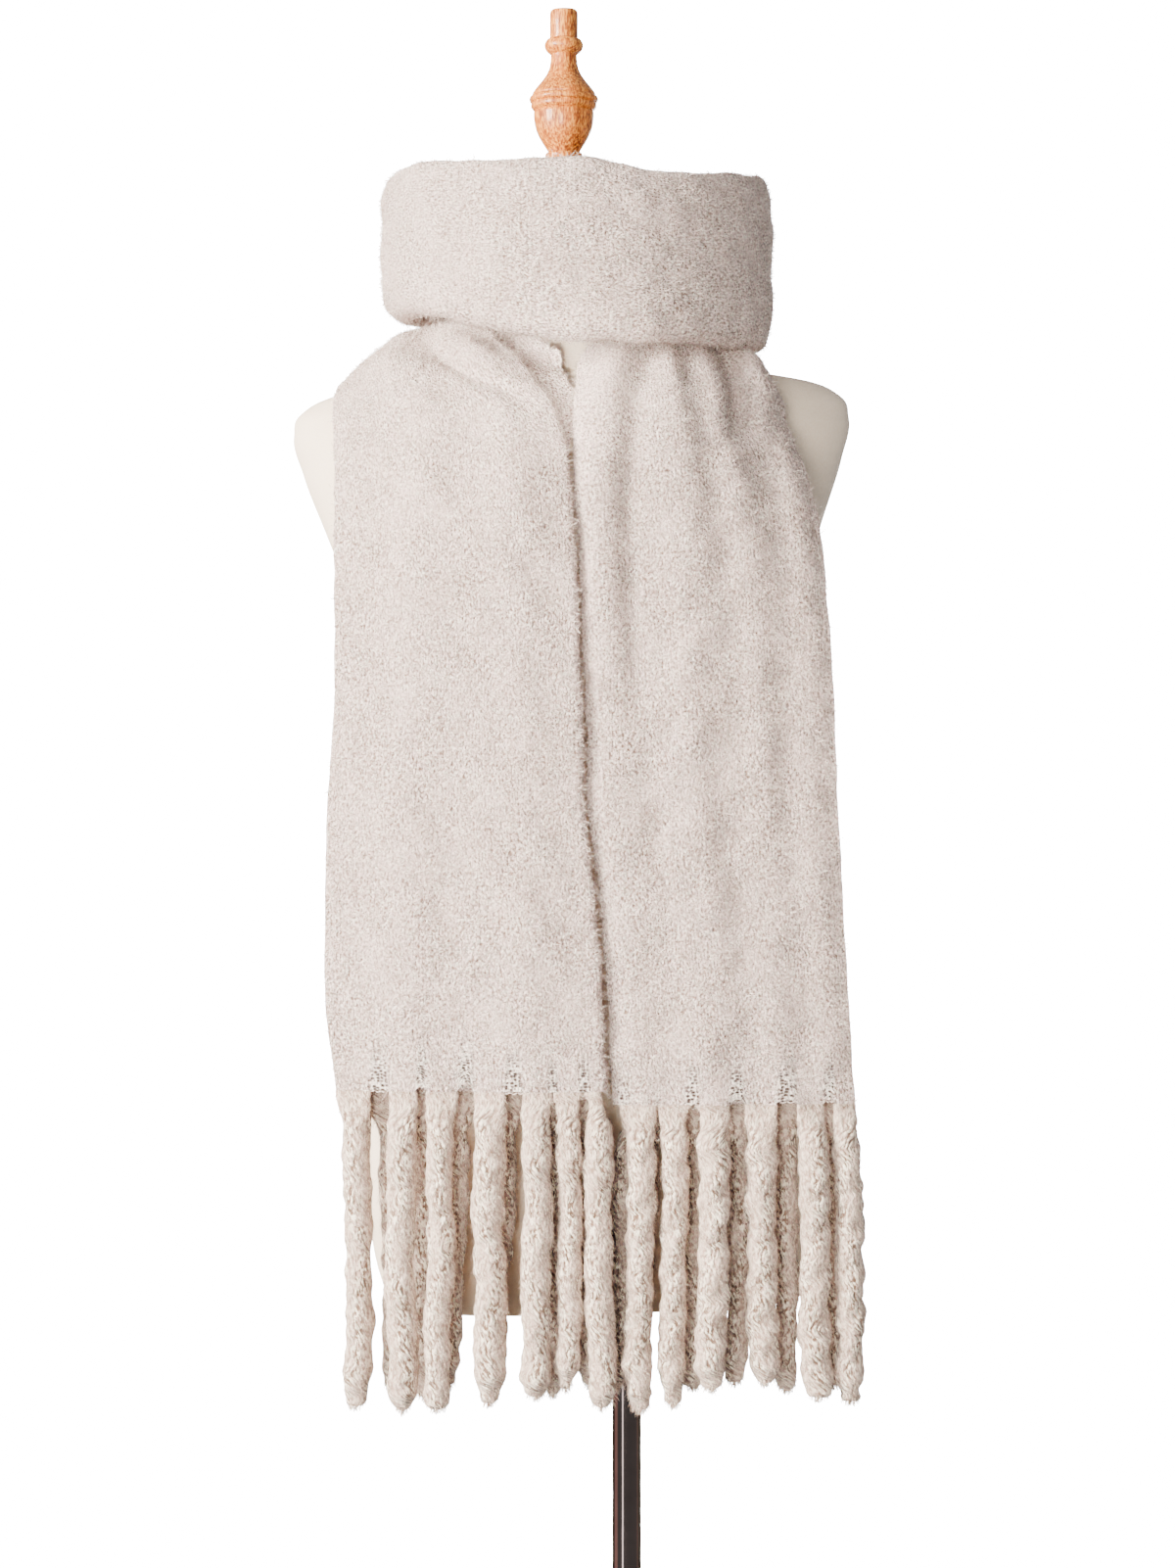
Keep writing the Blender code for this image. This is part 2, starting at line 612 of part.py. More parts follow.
def form_torso(finish, parts):
    power = 2 / FORM_ROUNDNESS
    bm = bmesh.new()
    loops = []
    for height, half_width, front, back in FORM_SECTIONS:
        loop = []
        for side in range(FORM_SIDES):
            turn = 2 * math.pi * side / FORM_SIDES
            across, depth = math.sin(turn), -math.cos(turn)
            x = math.copysign(abs(across) ** power, across) * half_width
            y = math.copysign(abs(depth) ** power, depth) * (front if depth < 0 else back)
            loop.append(bm.verts.new((x, y, height)))
        loops.append(loop)
    for lower, upper in zip(loops, loops[1:]):
        for i in range(FORM_SIDES):
            j = (i + 1) % FORM_SIDES
            bm.faces.new((lower[i], lower[j], upper[j], upper[i]))
    bm.faces.new(reversed(loops[0]))
    bm.faces.new(loops[-1])
    return add_object("form_torso", mesh_from("form_torso", bm), finish, parts)


def dress_form(cover, wood, parts):
    """Torso and neck cap, parented to an empty that leans; the finial stands upright."""
    frame = bpy.data.objects.new("form_frame", None)
    frame.location = FORM_BASE
    frame.rotation_euler.y = -FORM_LEAN
    parts.objects.link(frame)
    torso = form_torso(cover, parts)
    torso.parent = frame
    neck_top = FORM_SECTIONS[-1][0]
    cap_profile = (
        (CAP_RADIUS - CAP_CHAMFER, CAP_HEIGHT),
        (CAP_RADIUS, CAP_HEIGHT - CAP_CHAMFER),
        (CAP_RADIUS, 0.0),
    )
    cap = turned("neck_cap", cap_profile, ROUND_SIDES, wood, parts)
    cap.parent = frame
    cap.location.z = neck_top + SEAM
    cap_top = FORM_BASE[2] + (neck_top + SEAM + CAP_HEIGHT) * math.cos(FORM_LEAN)
    foot_radius = FINIAL_PROFILE[-1][0]
    foot = cap_top + SEAM + 2 * foot_radius * math.sin(FORM_LEAN)
    finial = turned("finial", (*FINIAL_PROFILE, (foot_radius, foot)), FINIAL_SIDES, wood, parts)
    finial.location.x = FINIAL_X


def stand(chrome, plate_finish, parts):
    turned("base_plate", BASE_PROFILE, ROUND_SIDES, plate_finish, parts)
    bore = POLE_RADIUS + SEAM
    socket = (
        (SOCKET_RADIUS - SOCKET_CHAMFER, SOCKET_TOP),
        (SOCKET_RADIUS, SOCKET_TOP - SOCKET_CHAMFER),
        (SOCKET_RADIUS, BASE_TOP + SEAM),
        (bore, BASE_TOP + SEAM),
        (bore, SOCKET_TOP),
    )
    screwed("pole_socket", socket, True, ROUND_SIDES, chrome, parts)
    cylinder("pole", POLE_RADIUS, BASE_TOP + SEAM, FORM_BASE[2] - SEAM, chrome, parts)


def scarf(cloth, fringe, parts):
    left = folded_end(LEFT_END_ROWS, LEFT_PLEATS, LEFT_REACH, fold_at_right=True)
    right = folded_end(RIGHT_END_ROWS, RIGHT_PLEATS, RIGHT_REACH, fold_at_right=False)
    cloth_wall("left_end", left, cloth, parts)
    cloth_wall("right_end", right, cloth, parts)
    cloth_wall("neck_band", band_grid(), cloth, parts, ring=True)
    front, rear = slice(0, len(FRONT_SHARES)), slice(-len(HIDDEN_SHARES), None)
    for name, hem, locks, swing, way in (
        ("fringe_left_front", left[0, front], LEFT_FRONT_LOCKS, FRONT_ROW_SWING, 1),
        ("fringe_left_back", left[0, rear], LEFT_BACK_LOCKS, BACK_ROW_SWING, 1),
        ("fringe_right_front", right[0, front], RIGHT_FRONT_LOCKS, FRONT_ROW_SWING, -1),
        ("fringe_right_back", right[0, rear], RIGHT_BACK_LOCKS, BACK_ROW_SWING, -1),
    ):
        fringe_row(name, hem, locks, swing, way, fringe, parts)


def main():
    for existing in list(bpy.data.objects):
        bpy.data.objects.remove(existing, do_unlink=True)
    parts = bpy.data.collections.new(COLLECTION)
    bpy.context.scene.collection.children.link(parts)
    cloth = material("brushed_cloth", (0.62, 0.56, 0.52), 0.95)
    fringe = material("fringe_yarn", (0.60, 0.53, 0.47), 0.95)
    cover = material("form_cover", (0.80, 0.77, 0.68), 0.80)
    wood = material("lacquered_wood", (0.55, 0.25, 0.10), 0.30)
    chrome = material("polished_pole", (0.55, 0.54, 0.53), 0.12, 1.0)
    plate_finish = material("base_finish", (0.12, 0.12, 0.12), 0.35, 0.6)
    scarf(cloth, fringe, parts)
    dress_form(cover, wood, parts)
    stand(chrome, plate_finish, parts)


main()
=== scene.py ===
import math

import bmesh
import bpy
import numpy as np
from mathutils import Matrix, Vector


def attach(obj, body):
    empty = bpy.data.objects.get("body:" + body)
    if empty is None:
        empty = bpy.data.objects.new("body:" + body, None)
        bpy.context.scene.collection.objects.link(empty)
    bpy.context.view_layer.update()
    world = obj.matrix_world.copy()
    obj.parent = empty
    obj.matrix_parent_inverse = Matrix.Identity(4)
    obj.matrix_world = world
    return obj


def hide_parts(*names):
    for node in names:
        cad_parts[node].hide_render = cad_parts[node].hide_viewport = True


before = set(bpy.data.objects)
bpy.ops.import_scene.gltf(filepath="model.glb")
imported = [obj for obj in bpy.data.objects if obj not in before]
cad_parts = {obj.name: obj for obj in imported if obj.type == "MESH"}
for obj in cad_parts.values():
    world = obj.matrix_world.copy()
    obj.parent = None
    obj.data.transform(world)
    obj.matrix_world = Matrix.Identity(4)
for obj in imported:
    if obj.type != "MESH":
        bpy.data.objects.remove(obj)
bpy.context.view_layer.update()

# The camera of the photograph, level and in front of the form
CAMERA_AT = (-0.0274, -2.4, 0.879)
CAMERA_LENS = 78.8
CAMERA_SENSOR = 36.0

# Cloth, folded lengthwise in three: the sizes of its solid
WALL = 0.0036
LAYER_PITCH = 0.0064
FOLD_REACH = LAYER_PITCH / 2 + WALL / 2
STEP = 0.001
ROW_SPACING = 0.0042
FRONT_COLUMNS = 88
HIDDEN_COLUMNS = 20
CLOTH_LUMPS = ((0.00045, 0.014), (0.0005, 0.045))  # height, size across
FOLD_STEPS = 8

LEFT_END_ROWS = (  # x, y, z of the left edge and of the right one, bow, recess
    (-0.196, -0.118, 0.676, -0.014, -0.136, 0.676, 0.006, 0.007),
    (-0.203, -0.118, 0.73, -0.017, -0.138, 0.73, 0.006, 0.007),
    (-0.203, -0.118, 0.8, -0.021, -0.139, 0.8, 0.006, 0.007),
    (-0.202, -0.118, 0.86, -0.0285, -0.14, 0.86, 0.006, 0.007),
    (-0.1975, -0.117, 0.93, -0.0313, -0.141, 0.93, 0.007, 0.007),
    (-0.1972, -0.114, 1.0, -0.0332, -0.143, 1.0, 0.009, 0.007),
    (-0.1983, -0.103, 1.05, -0.0358, -0.144, 1.05, 0.013, 0.01),
    (-0.1985, -0.087, 1.09, -0.039, -0.142, 1.092, 0.017, 0.016),
    (-0.1995, -0.068, 1.119, -0.046, -0.134, 1.122, 0.019, 0.025),
    (-0.2015, -0.045, 1.1395, -0.0615, -0.119, 1.15, 0.018, 0.038),
    (-0.2005, -0.015, 1.1525, -0.075, -0.107, 1.166, 0.017, 0.045),
    (-0.185, 0.012, 1.172, -0.0865, -0.096, 1.177, 0.014, 0.036),
    (-0.15, 0.038, 1.185, -0.102, -0.072, 1.203, 0.004, 0.024),
    (-0.12, 0.06, 1.188, -0.116, -0.032, 1.226, 0.003, 0.014),
    (-0.098, 0.07, 1.188, -0.118, 0.012, 1.243, 0.003, 0.008),
    (-0.082, 0.076, 1.188, -0.101, 0.051, 1.248, 0.002, 0.007),
    (-0.064, 0.079, 1.187, -0.072, 0.073, 1.252, 0.0, 0.007),
    (-0.0435, 0.079, 1.187, -0.0435, 0.074, 1.253, 0.0, 0.007),
)
RIGHT_END_ROWS = (
    (-0.0105, -0.129, 0.667, 0.1515, -0.118, 0.667, 0.006, 0.007),
    (-0.015, -0.13, 0.73, 0.1478, -0.118, 0.73, 0.006, 0.007),
    (-0.019, -0.131, 0.8, 0.144, -0.118, 0.8, 0.006, 0.007),
    (-0.0265, -0.132, 0.86, 0.1406, -0.118, 0.86, 0.006, 0.007),
    (-0.0293, -0.133, 0.93, 0.1383, -0.117, 0.93, 0.007, 0.007),
    (-0.0312, -0.135, 1.0, 0.1338, -0.114, 1.0, 0.009, 0.007),
    (-0.0338, -0.137, 1.05, 0.1288, -0.104, 1.05, 0.013, 0.01),
    (-0.0365, -0.136, 1.092, 0.1185, -0.092, 1.09, 0.015, 0.014),
    (-0.0365, -0.13, 1.122, 0.1085, -0.078, 1.119, 0.015, 0.022),
    (-0.035, -0.118, 1.146, 0.1035, -0.063, 1.143, 0.013, 0.028),
    (-0.031, -0.101, 1.166, 0.0935, -0.048, 1.1634, 0.007, 0.03),
    (-0.015, -0.085, 1.188, 0.074, -0.036, 1.1717, 0.002, 0.026),
    (0.008, -0.064, 1.213, 0.0605, -0.01, 1.1825, 0.002, 0.018),
    (0.023, -0.028, 1.236, 0.0515, 0.026, 1.1855, 0.003, 0.01),
    (0.0265, 0.012, 1.246, 0.0345, 0.052, 1.1865, 0.003, 0.007),
    (0.012, 0.05, 1.251, 0.012, 0.069, 1.186, 0.002, 0.007),
    (-0.011, 0.072, 1.253, -0.012, 0.078, 1.186, 0.0, 0.007),
    (-0.0385, 0.073, 1.253, -0.0385, 0.078, 1.186, 0.0, 0.007),
)
PLEAT_Z = (0.67, 1.0, 1.12, 1.16, 1.195)
PLEAT_EDGE_FADE = 0.06
CREASE_EDGE_FADE = 0.1
LEFT_PLEATS = (
    ((0.3, 0.32, 0.46, 0.4, 0.4), (0.003, 0.002, 0.004, 0.007, 0.001), 0.12),
    ((0.72, 0.74, 0.8, 0.78, 0.78), (0.003, 0.003, 0.006, 0.008, 0.001), 0.12),
)
RIGHT_PLEATS = (
    ((0.14, 0.09, 0.13, 0.17, 0.2), (0.002, 0.005, 0.007, 0.008, 0.001), 0.1),
    ((0.4, 0.42, 0.43, 0.43, 0.43), (0.0045, 0.0045, 0.006, 0.009, 0.001), 0.1),
    ((0.7, 0.7, 0.62, 0.61, 0.6), (0.004, 0.003, 0.006, 0.0094, 0.001), 0.08),
    ((0.88, 0.9, 0.88, 0.87, 0.85), (0.002, 0.002, 0.006, 0.009, 0.001), 0.07),
)
REACH_Z = (0.67, 1.05, 1.09, 1.12, 1.145, 1.159, 1.1745, 1.19, 1.205)
LEFT_REACH = (-0.01, -0.006, 0.0, 0.014, 0.028, 0.0325, 0.0366, 0.03, 0.0)
REACH_BEND = 0.3  # of the reach: how it turns in round the neck
REACH_BEND_Z = (1.15, 1.17)
STRIP_COLUMNS = 7  # of the rear layer, where it can show past the fold
RIGHT_REACH = (-0.01,) * len(REACH_Z)

# Soft creases placed one by one: ((x, z) down their line), depth, half width
LEFT_CREASES = (
    (((-0.141, 1.181), (-0.123, 1.166), (-0.106, 1.152), (-0.086, 1.142), (-0.07, 1.128)), 0.0078, 0.007),
    (((-0.152, 1.1), (-0.16, 1.02), (-0.15, 0.93)), 0.0016, 0.016),
    (((-0.078, 1.06), (-0.086, 0.95), (-0.08, 0.84), (-0.088, 0.74)), 0.0016, 0.014),
    (((-0.128, 0.9), (-0.122, 0.8), (-0.13, 0.72)), 0.0014, 0.012),
)
RIGHT_CREASES = (
    (
        ((0.0145, 1.168), (0.003, 1.14), (0.0005, 1.12), (-0.0015, 1.075), (0.001, 1.01), (0.004, 0.94)),
        0.0046,
        0.0085,
    ),
    (((0.036, 1.17), (0.0375, 1.155), (0.0385, 1.14)), 0.004, 0.005),
    (
        ((0.059, 1.172), (0.065, 1.16), (0.0712, 1.146), (0.0725, 1.13), (0.0695, 1.113), (0.062, 1.103)),
        0.008,
        0.0085,
    ),
    (((0.0905, 1.15), (0.0985, 1.12), (0.101, 1.09)), 0.003, 0.008),
    (((0.0425, 0.83), (0.046, 0.78), (0.051, 0.715)), 0.0024, 0.01),
    (((0.095, 1.0), (0.1, 0.9), (0.096, 0.8), (0.105, 0.72)), 0.0018, 0.013),
)

# The turn round the neck
BAND_CENTRE = (-0.035, -0.01)
BAND_RADII = (0.137, 0.128)
BAND_EDGES = (  # degrees from the front towards the viewer's right, z of top, z of bottom
    (0, 1.295, 1.1725), (12, 1.2915, 1.173), (25, 1.2875, 1.1735), (50, 1.292, 1.175),
    (90, 1.301, 1.178), (135, 1.312, 1.192), (180, 1.318, 1.2), (225, 1.314, 1.203),
    (270, 1.302, 1.201), (310, 1.2985, 1.1935), (335, 1.2945, 1.18),
)
BAND_SEGMENTS = 220
BAND_DEPTHS = {"outer": 0.002, "tuck": 0.0092, "middle": 0.018, "inner": 0.0252}
BAND_POINTS = {"outer": 34, "tuck": 14, "middle": 10, "inner": 12}
BAND_LEAN = 0.0075
BAND_CREASES = (  # angle, share of height, half width in degrees, half height share, depth
    (72, 0.5, 26, 0.1, 0.002), (150, 0.4, 40, 0.12, 0.004), (215, 0.62, 36, 0.12, 0.0035),
    (292, 0.66, 24, 0.1, 0.002), (18, 0.3, 16, 0.1, 0.0012), (38, 0.7, 14, 0.09, 0.0014),
    (58, 0.3, 12, 0.08, 0.0014), (84, 0.76, 10, 0.07, 0.0016), (96, 0.34, 12, 0.08, 0.0016),
    (120, 0.64, 18, 0.1, 0.0018), (182, 0.55, 20, 0.09, 0.0018), (245, 0.35, 18, 0.1, 0.0016),
    (275, 0.3, 14, 0.09, 0.0012), (318, 0.4, 16, 0.1, 0.0012), (342, 0.72, 14, 0.1, 0.001),
)

# Twisted fringe
SEAM = 0.0003
LEFT_FRONT_LOCKS = (  # x of root, x of tip, z of end, width
    (-0.18, -0.1795, 0.4665, 0.0185),
    (-0.15, -0.15, 0.465, 0.02),
    (-0.124, -0.1262, 0.4665, 0.018),
    (-0.091, -0.0925, 0.471, 0.0215),
    (-0.061, -0.0605, 0.475, 0.02),
    (-0.0395, -0.04, 0.4805, 0.0165),
    (-0.02, -0.019, 0.468, 0.019),
)
LEFT_BACK_LOCKS = (
    (-0.16, -0.1572, 0.474, 0.015),
    (-0.137, -0.1365, 0.47, 0.0165),
    (-0.112, -0.1195, 0.478, 0.0145),
    (-0.079, -0.0885, 0.476, 0.0125),
    (-0.05, -0.05, 0.472, 0.015),
    (-0.027, -0.0275, 0.478, 0.016),
)
RIGHT_FRONT_LOCKS = (
    (0.008, 0.0065, 0.466, 0.019),
    (0.03, 0.029, 0.469, 0.018),
    (0.0555, 0.055, 0.48, 0.021),
    (0.088, 0.088, 0.483, 0.021),
    (0.1215, 0.125, 0.473, 0.021),
    (0.144, 0.148, 0.47, 0.019),
)
RIGHT_BACK_LOCKS = (
    (-0.001, -0.0095, 0.476, 0.015),
    (0.0145, 0.008, 0.476, 0.013),
    (0.043, 0.0415, 0.476, 0.016),
    (0.072, 0.0725, 0.479, 0.016),
    (0.104, 0.106, 0.474, 0.0165),
    (0.133, 0.137, 0.476, 0.015),
)
SWING_DROP = 0.05  # below the hem, where a row has swung clear of the other one
FRONT_ROW_SWING = 0.004
BACK_ROW_SWING = -0.008
LOCK_LUMPS = ((0.0004, 0.006), (0.0003, 0.013))
ROPE_SIDES = 22
ROPE_RINGS = 84
ROPE_STARTS = (-0.006, -0.0012, 0.0, 0.0015)  # below the hem: the first rings, held in the cloth
HELD_INSET = 0.0014
HELD_THICK, SEAM_THICK, TONGUE_THICK = 0.001, 0.0017, 0.0019  # half, in the cloth and below it
ROPE_BODY = 0.0045  # below the hem, where the even rings start
ROPE_TAIL = 0.012
CORE_ANGLES = (0.6, 2.6, 4.6)  # radians round the twist, where the bare core shows
CORE_HALF_WIDTH = 0.5
TAIL_RINGS = 10
ROPE_FAN = 0.03  # below the hem, where the tongue of cloth has narrowed to the twist
ROPE_PITCH = 0.056
LEFT_ARCHES = (  # gaps at the hem between the locks: width, top above the hem
    (0.012, 0.001), (0.0055, 0.0045), (0.01, 0.0062), (0.0115, 0.0005), (0.0045, -0.005),
    (0.007, -0.003),
)
RIGHT_ARCHES = (
    (0.0045, -0.022), (0.009, -0.001), (0.01, 0.0035), (0.013, 0.003), (0.0065, 0.0035),
)
BACK_ARCH = (0.007, -0.002)
LEAST_GAP = 0.0002
ARCH_CORNER = 0.004
FRAY_HEIGHT = 0.036
RIGHT_EDGE_FRAY = (-0.005, 0.011)
THREAD_SIDES = 5
THREAD_STEPS = 15
THREAD_RADIUS = 0.00045
THREAD_LEVELS = (-0.0008, 0.0012)  # from the top of the gap
THREAD_OVERLAP = 0.003  # more than the gap's width
THREAD_SLACK = 0.0007
THREAD_OUT = 0.0006

# Dress form and stand
FORM_BASE = (-0.018, 0.0, 0.522)
FORM_LEAN = math.radians(1.95)
FORM_ROUNDNESS = 2.3
FORM_SIDES = 96
FORM_SECTIONS = (  # height above FORM_BASE, half width, depth in front, depth behind
    (0.0, 0.146, 0.09, 0.104), (0.012, 0.151, 0.094, 0.109), (0.078, 0.16, 0.098, 0.116),
    (0.178, 0.15, 0.093, 0.106), (0.258, 0.13, 0.086, 0.09), (0.338, 0.121, 0.081, 0.083),
    (0.418, 0.136, 0.094, 0.087), (0.488, 0.156, 0.105, 0.092), (0.538, 0.174, 0.101, 0.095),
    (0.578, 0.188, 0.092, 0.094), (0.606, 0.194, 0.08, 0.088), (0.622, 0.188, 0.067, 0.078),
    (0.632, 0.168, 0.06, 0.071), (0.6385, 0.136, 0.056, 0.066), (0.643, 0.108, 0.055, 0.063),
    (0.652, 0.084, 0.054, 0.06), (0.668, 0.068, 0.054, 0.057), (0.69, 0.058, 0.054, 0.055),
    (0.715, 0.055, 0.054, 0.054), (0.75, 0.054, 0.053, 0.053),
)
FINIAL_X = -0.0439
FINIAL_PROFILE = (  # radius, z
    (0.0086, 1.42), (0.0095, 1.419), (0.0098, 1.417), (0.0098, 1.4002), (0.0116, 1.3994),
    (0.0129, 1.3978), (0.0136, 1.3956), (0.0134, 1.3936), (0.0124, 1.3916), (0.0108, 1.39),
    (0.0091, 1.3888), (0.0091, 1.3876), (0.0094, 1.3838), (0.0102, 1.3792), (0.0122, 1.3747),
    (0.0154, 1.3702), (0.019, 1.3659), (0.0214, 1.3627), (0.0222, 1.361), (0.022, 1.3602),
    (0.0236, 1.3591), (0.0242, 1.3574), (0.0236, 1.3557), (0.0224, 1.3549), (0.023, 1.3537),
    (0.0229, 1.3519), (0.0218, 1.3504), (0.0202, 1.3494), (0.0211, 1.3484), (0.0211, 1.3452),
    (0.0204, 1.3398), (0.0192, 1.3352), (0.0172, 1.3309), (0.0147, 1.3265), (0.0122, 1.3227),
    (0.0109, 1.3205), (0.0126, 1.3197), (0.0131, 1.3187), (0.0131, 1.3165), (0.015, 1.312),
    (0.015, 1.3021),
)
POLE_RADIUS = 0.01
POLE_TOP = 0.5217
BASE_PROFILE = (  # radius, z
    (0.02, 0.016), (0.09, 0.014), (0.138, 0.012), (0.15, 0.0104), (0.156, 0.0085),
    (0.159, 0.0066), (0.16, 0.0045), (0.16, 0.0008), (0.1592, 0.0),
)
BASE_TOP = 0.016

# Patterns: how far the stitches stray from their columns, and the slant of the yarn
WEAVE_WANDER = 0.0022
PLY_SLANT = math.radians(20)

# Colours, in linear light
CLOTH = (0.7, 0.507, 0.447)
CLOTH_LIGHT = (0.9, 0.71, 0.65)
CLOTH_DARK = (0.56, 0.4, 0.347)
CLOTH_SHADE = (0.26, 0.17, 0.14)
CLOTH_BROWN = (0.28, 0.175, 0.12)
# Painted shade: the dark seen through the holes of the open weave
HOLE_SHADE = (0.09, 0.055, 0.04)
SPECK_CREAM = (1.0, 0.92, 0.78)
SPECK_PINK = (0.94, 0.72, 0.66)
NAP = (0.83, 0.645, 0.578)
NAP_DARK = (0.61, 0.45, 0.392)
YARN = (0.62, 0.43, 0.345)
YARN_DARK = (0.46, 0.31, 0.235)
YARN_SHADE = (0.19, 0.115, 0.075)
YARN_LIGHT = (0.87, 0.69, 0.575)
YARN_SPECK = (1.0, 0.87, 0.68)
YARN_NAP = (0.67, 0.475, 0.395)
YARN_NAP_DARK = (0.47, 0.33, 0.255)
COVER = (0.88, 0.715, 0.54)
COVER_DARK = (0.82, 0.65, 0.475)
COVER_LIGHT = (0.94, 0.82, 0.68)
COVER_SHADE = (0.46, 0.315, 0.205)
WOOD = (0.56, 0.15, 0.014)
WOOD_DARK = (0.3, 0.068, 0.006)
WOOD_LIGHT = (0.88, 0.37, 0.06)
WOOD_PORE = (0.08, 0.018, 0.004)
POLE = (0.125, 0.098, 0.09)
POLE_DARK = (0.085, 0.066, 0.06)
POLE_SHINE = (0.3, 0.2, 0.17)
BASE = (0.09, 0.09, 0.09)
BASE_DARK = (0.06, 0.06, 0.06)
FLOOR = (0.9, 0.9, 0.9)
FLOOR_DARK = (0.86, 0.86, 0.86)
FLOOR_FADE = (0.6, 1.4)  # away from the middle, where its glow grows to the surround's
FLOOR_GLOW = 2.0
BACKDROP_GLOW = 26.0
STUDIO_RADIUS = 30.0
STUDIO_SIDES = 96
FLOOR_RADII = (0, 0.4, 0.8, 1.2, 1.6, 2.4, 4, 8, STUDIO_RADIUS)
WORLD_STRENGTH = 0.5
WORLD_COLOUR = (0.95, 0.97, 1.0)
LIGHT_COLOUR = (1, 0.945, 0.88)
LIGHTS = (  # place, aim, power, size
    ("key", (-2.7, -1.7, 1.55), (-0.03, -0.1, 0.98), 600, 1.2),
    ("front", (-0.7, -3.1, 0.75), (-0.03, -0.1, 1.05), 120, 1.0),
    ("back", (0.5, 3.2, 1.5), (-0.03, 0.0, 0.95), 230, 1.4),
)
STRIPS = (  # seen only in what shines: place, power, width, height, colour
    ("strip_front", (-0.645, -1.01, -0.05), 11.0, 0.22, 1.1, (1.0, 0.97, 1.0)),
    ("strip_left", (-1.19, 0.15, -0.05), 4.2, 0.75, 1.1, (1.0, 0.52, 0.45)),
    ("strip_right", (1.19, 0.15, -0.05), 0.9, 0.14, 1.1, (1.0, 0.66, 0.5)),
)
THROAT_LIGHT = (-0.1, -1.8, 0.78), (-0.032, -0.06, 1.163), 900  # place, aim, power
THROAT_SPREAD = math.radians(2.6)

# Nap: number of hairs, their length, width and lift, and how far they fall
NAP_COUNT = 30000
NAP_SIZES = (0.0075, 0.00036, 0.36)
NAP_UNDER_BAND = 0.15  # of the nap elsewhere
FRAY_BARE = 0.93  # of the nap, gone where the weave is frayed
CORE_BARE = 0.75  # of the nap, gone on the bare core of a lock
BAND_FOOT = 1.19  # z, below which the ends hang free of the band
LOCK_NAP_COUNT = 1500
LOCK_NAP_SIZES = (0.0052, 0.00036, 0.36)
TUFT_COUNT = 160
TUFT_HEIGHT = 0.01
LOCK_NAP_FALL = 1.6
TUFT_FALL = 2.5

# The cut of what shows: width and length
LEFT_FLAT = (0.54, 0.72)
RIGHT_FLAT = (0.5, 0.74)


# Curves, noise and meshes


def through(knots, values, at):
    """Smooth curve through the values at the knots, read at each number in at."""
    knots, values, at = np.asarray(knots, float), np.asarray(values, float), np.asarray(at, float)
    slopes = np.gradient(values, knots, axis=0)
    low = np.clip(np.searchsorted(knots, at, side="right") - 1, 0, len(knots) - 2)
    span = knots[low + 1] - knots[low]
    t = (np.clip(at, knots[0], knots[-1]) - knots[low]) / span
    if values.ndim > 1:
        t, span = t[..., None], span[..., None]
    return (
        values[low] * (1 + 2 * t) * (1 - t) ** 2
        + slopes[low] * span * t * (1 - t) ** 2
        + values[low + 1] * t**2 * (3 - 2 * t)
        + slopes[low + 1] * span * t**2 * (t - 1)
    )


def unit(vectors):
    return vectors / np.maximum(np.linalg.norm(vectors, axis=-1, keepdims=True), 1e-12)


def smooth(x):
    x = np.clip(x, 0, 1)
    return x * x * (3 - 2 * x)


def lumps(points, size, seed, waves=14):
    """Smooth noise of about unit height, with bumps about size across."""
    rng = np.random.default_rng(seed)
    directions = unit(rng.normal(size=(waves, 3))) * 2 * math.pi / size * rng.uniform(0.35, 0.8, (waves, 1))
    phases = rng.uniform(0, 2 * math.pi, waves)
    return np.cos(points @ directions.T + phases).sum(axis=-1) / math.sqrt(waves / 2)


def uneven(points, sizes, seed):
    """Noise of several sizes, from the height and the size across of each."""
    return sum(height * lumps(points, size, seed + n) for n, (height, size) in enumerate(sizes))


def grid_quads(rows, columns, ring=False):
    """Corner indices of the cells of a grid, and of the same cells with the ring left open."""
    i, j = np.meshgrid(np.arange(rows - 1), np.arange(columns - 1), indexing="ij")
    i, j = i.ravel(), j.ravel()
    first = i * columns + j
    open_quads = np.stack([first, first + 1, first + columns + 1, first + columns], 1)
    if not ring:
        return open_quads, open_quads
    return open_quads % ((rows - 1) * columns), open_quads


def new_mesh(name, vertices, faces, uvs=None, marks=None):
    """Mesh of quads or triangles, all of one kind, with a UV for each corner and a named mark,
    from 0 to 1, at each point."""
    mesh = bpy.data.meshes.new(name)
    count, sides = faces.shape
    mesh.vertices.add(len(vertices))
    mesh.vertices.foreach_set("co", np.ascontiguousarray(vertices, np.float32).ravel())
    mesh.loops.add(count * sides)
    mesh.loops.foreach_set("vertex_index", np.ascontiguousarray(faces, np.int32).ravel())
    mesh.polygons.add(count)
    mesh.polygons.foreach_set("loop_start", np.arange(0, count * sides, sides, dtype=np.int32))
    mesh.polygons.foreach_set("loop_total", np.full(count, sides, np.int32))
    mesh.update(calc_edges=True)
    if uvs is not None:
        layer = mesh.uv_layers.new(name="metres")
        layer.data.foreach_set("uv", np.ascontiguousarray(uvs, np.float32).ravel())
    for mark, values in (marks or {}).items():
        attribute = mesh.attributes.new(mark, "FLOAT", "POINT")
        attribute.data.foreach_set("value", np.ascontiguousarray(values, np.float32).ravel())
    mesh.shade_smooth()
    mesh.validate()
    return mesh


def weld(mesh):
    """Joins points that lie together, at a tube's seam and its closed ends."""
    bm = bmesh.new()
    bm.from_mesh(mesh)
    bmesh.ops.remove_doubles(bm, verts=bm.verts, dist=1e-7)
    bmesh.ops.recalc_face_normals(bm, faces=bm.faces)
    bm.to_mesh(mesh)
    bm.free()


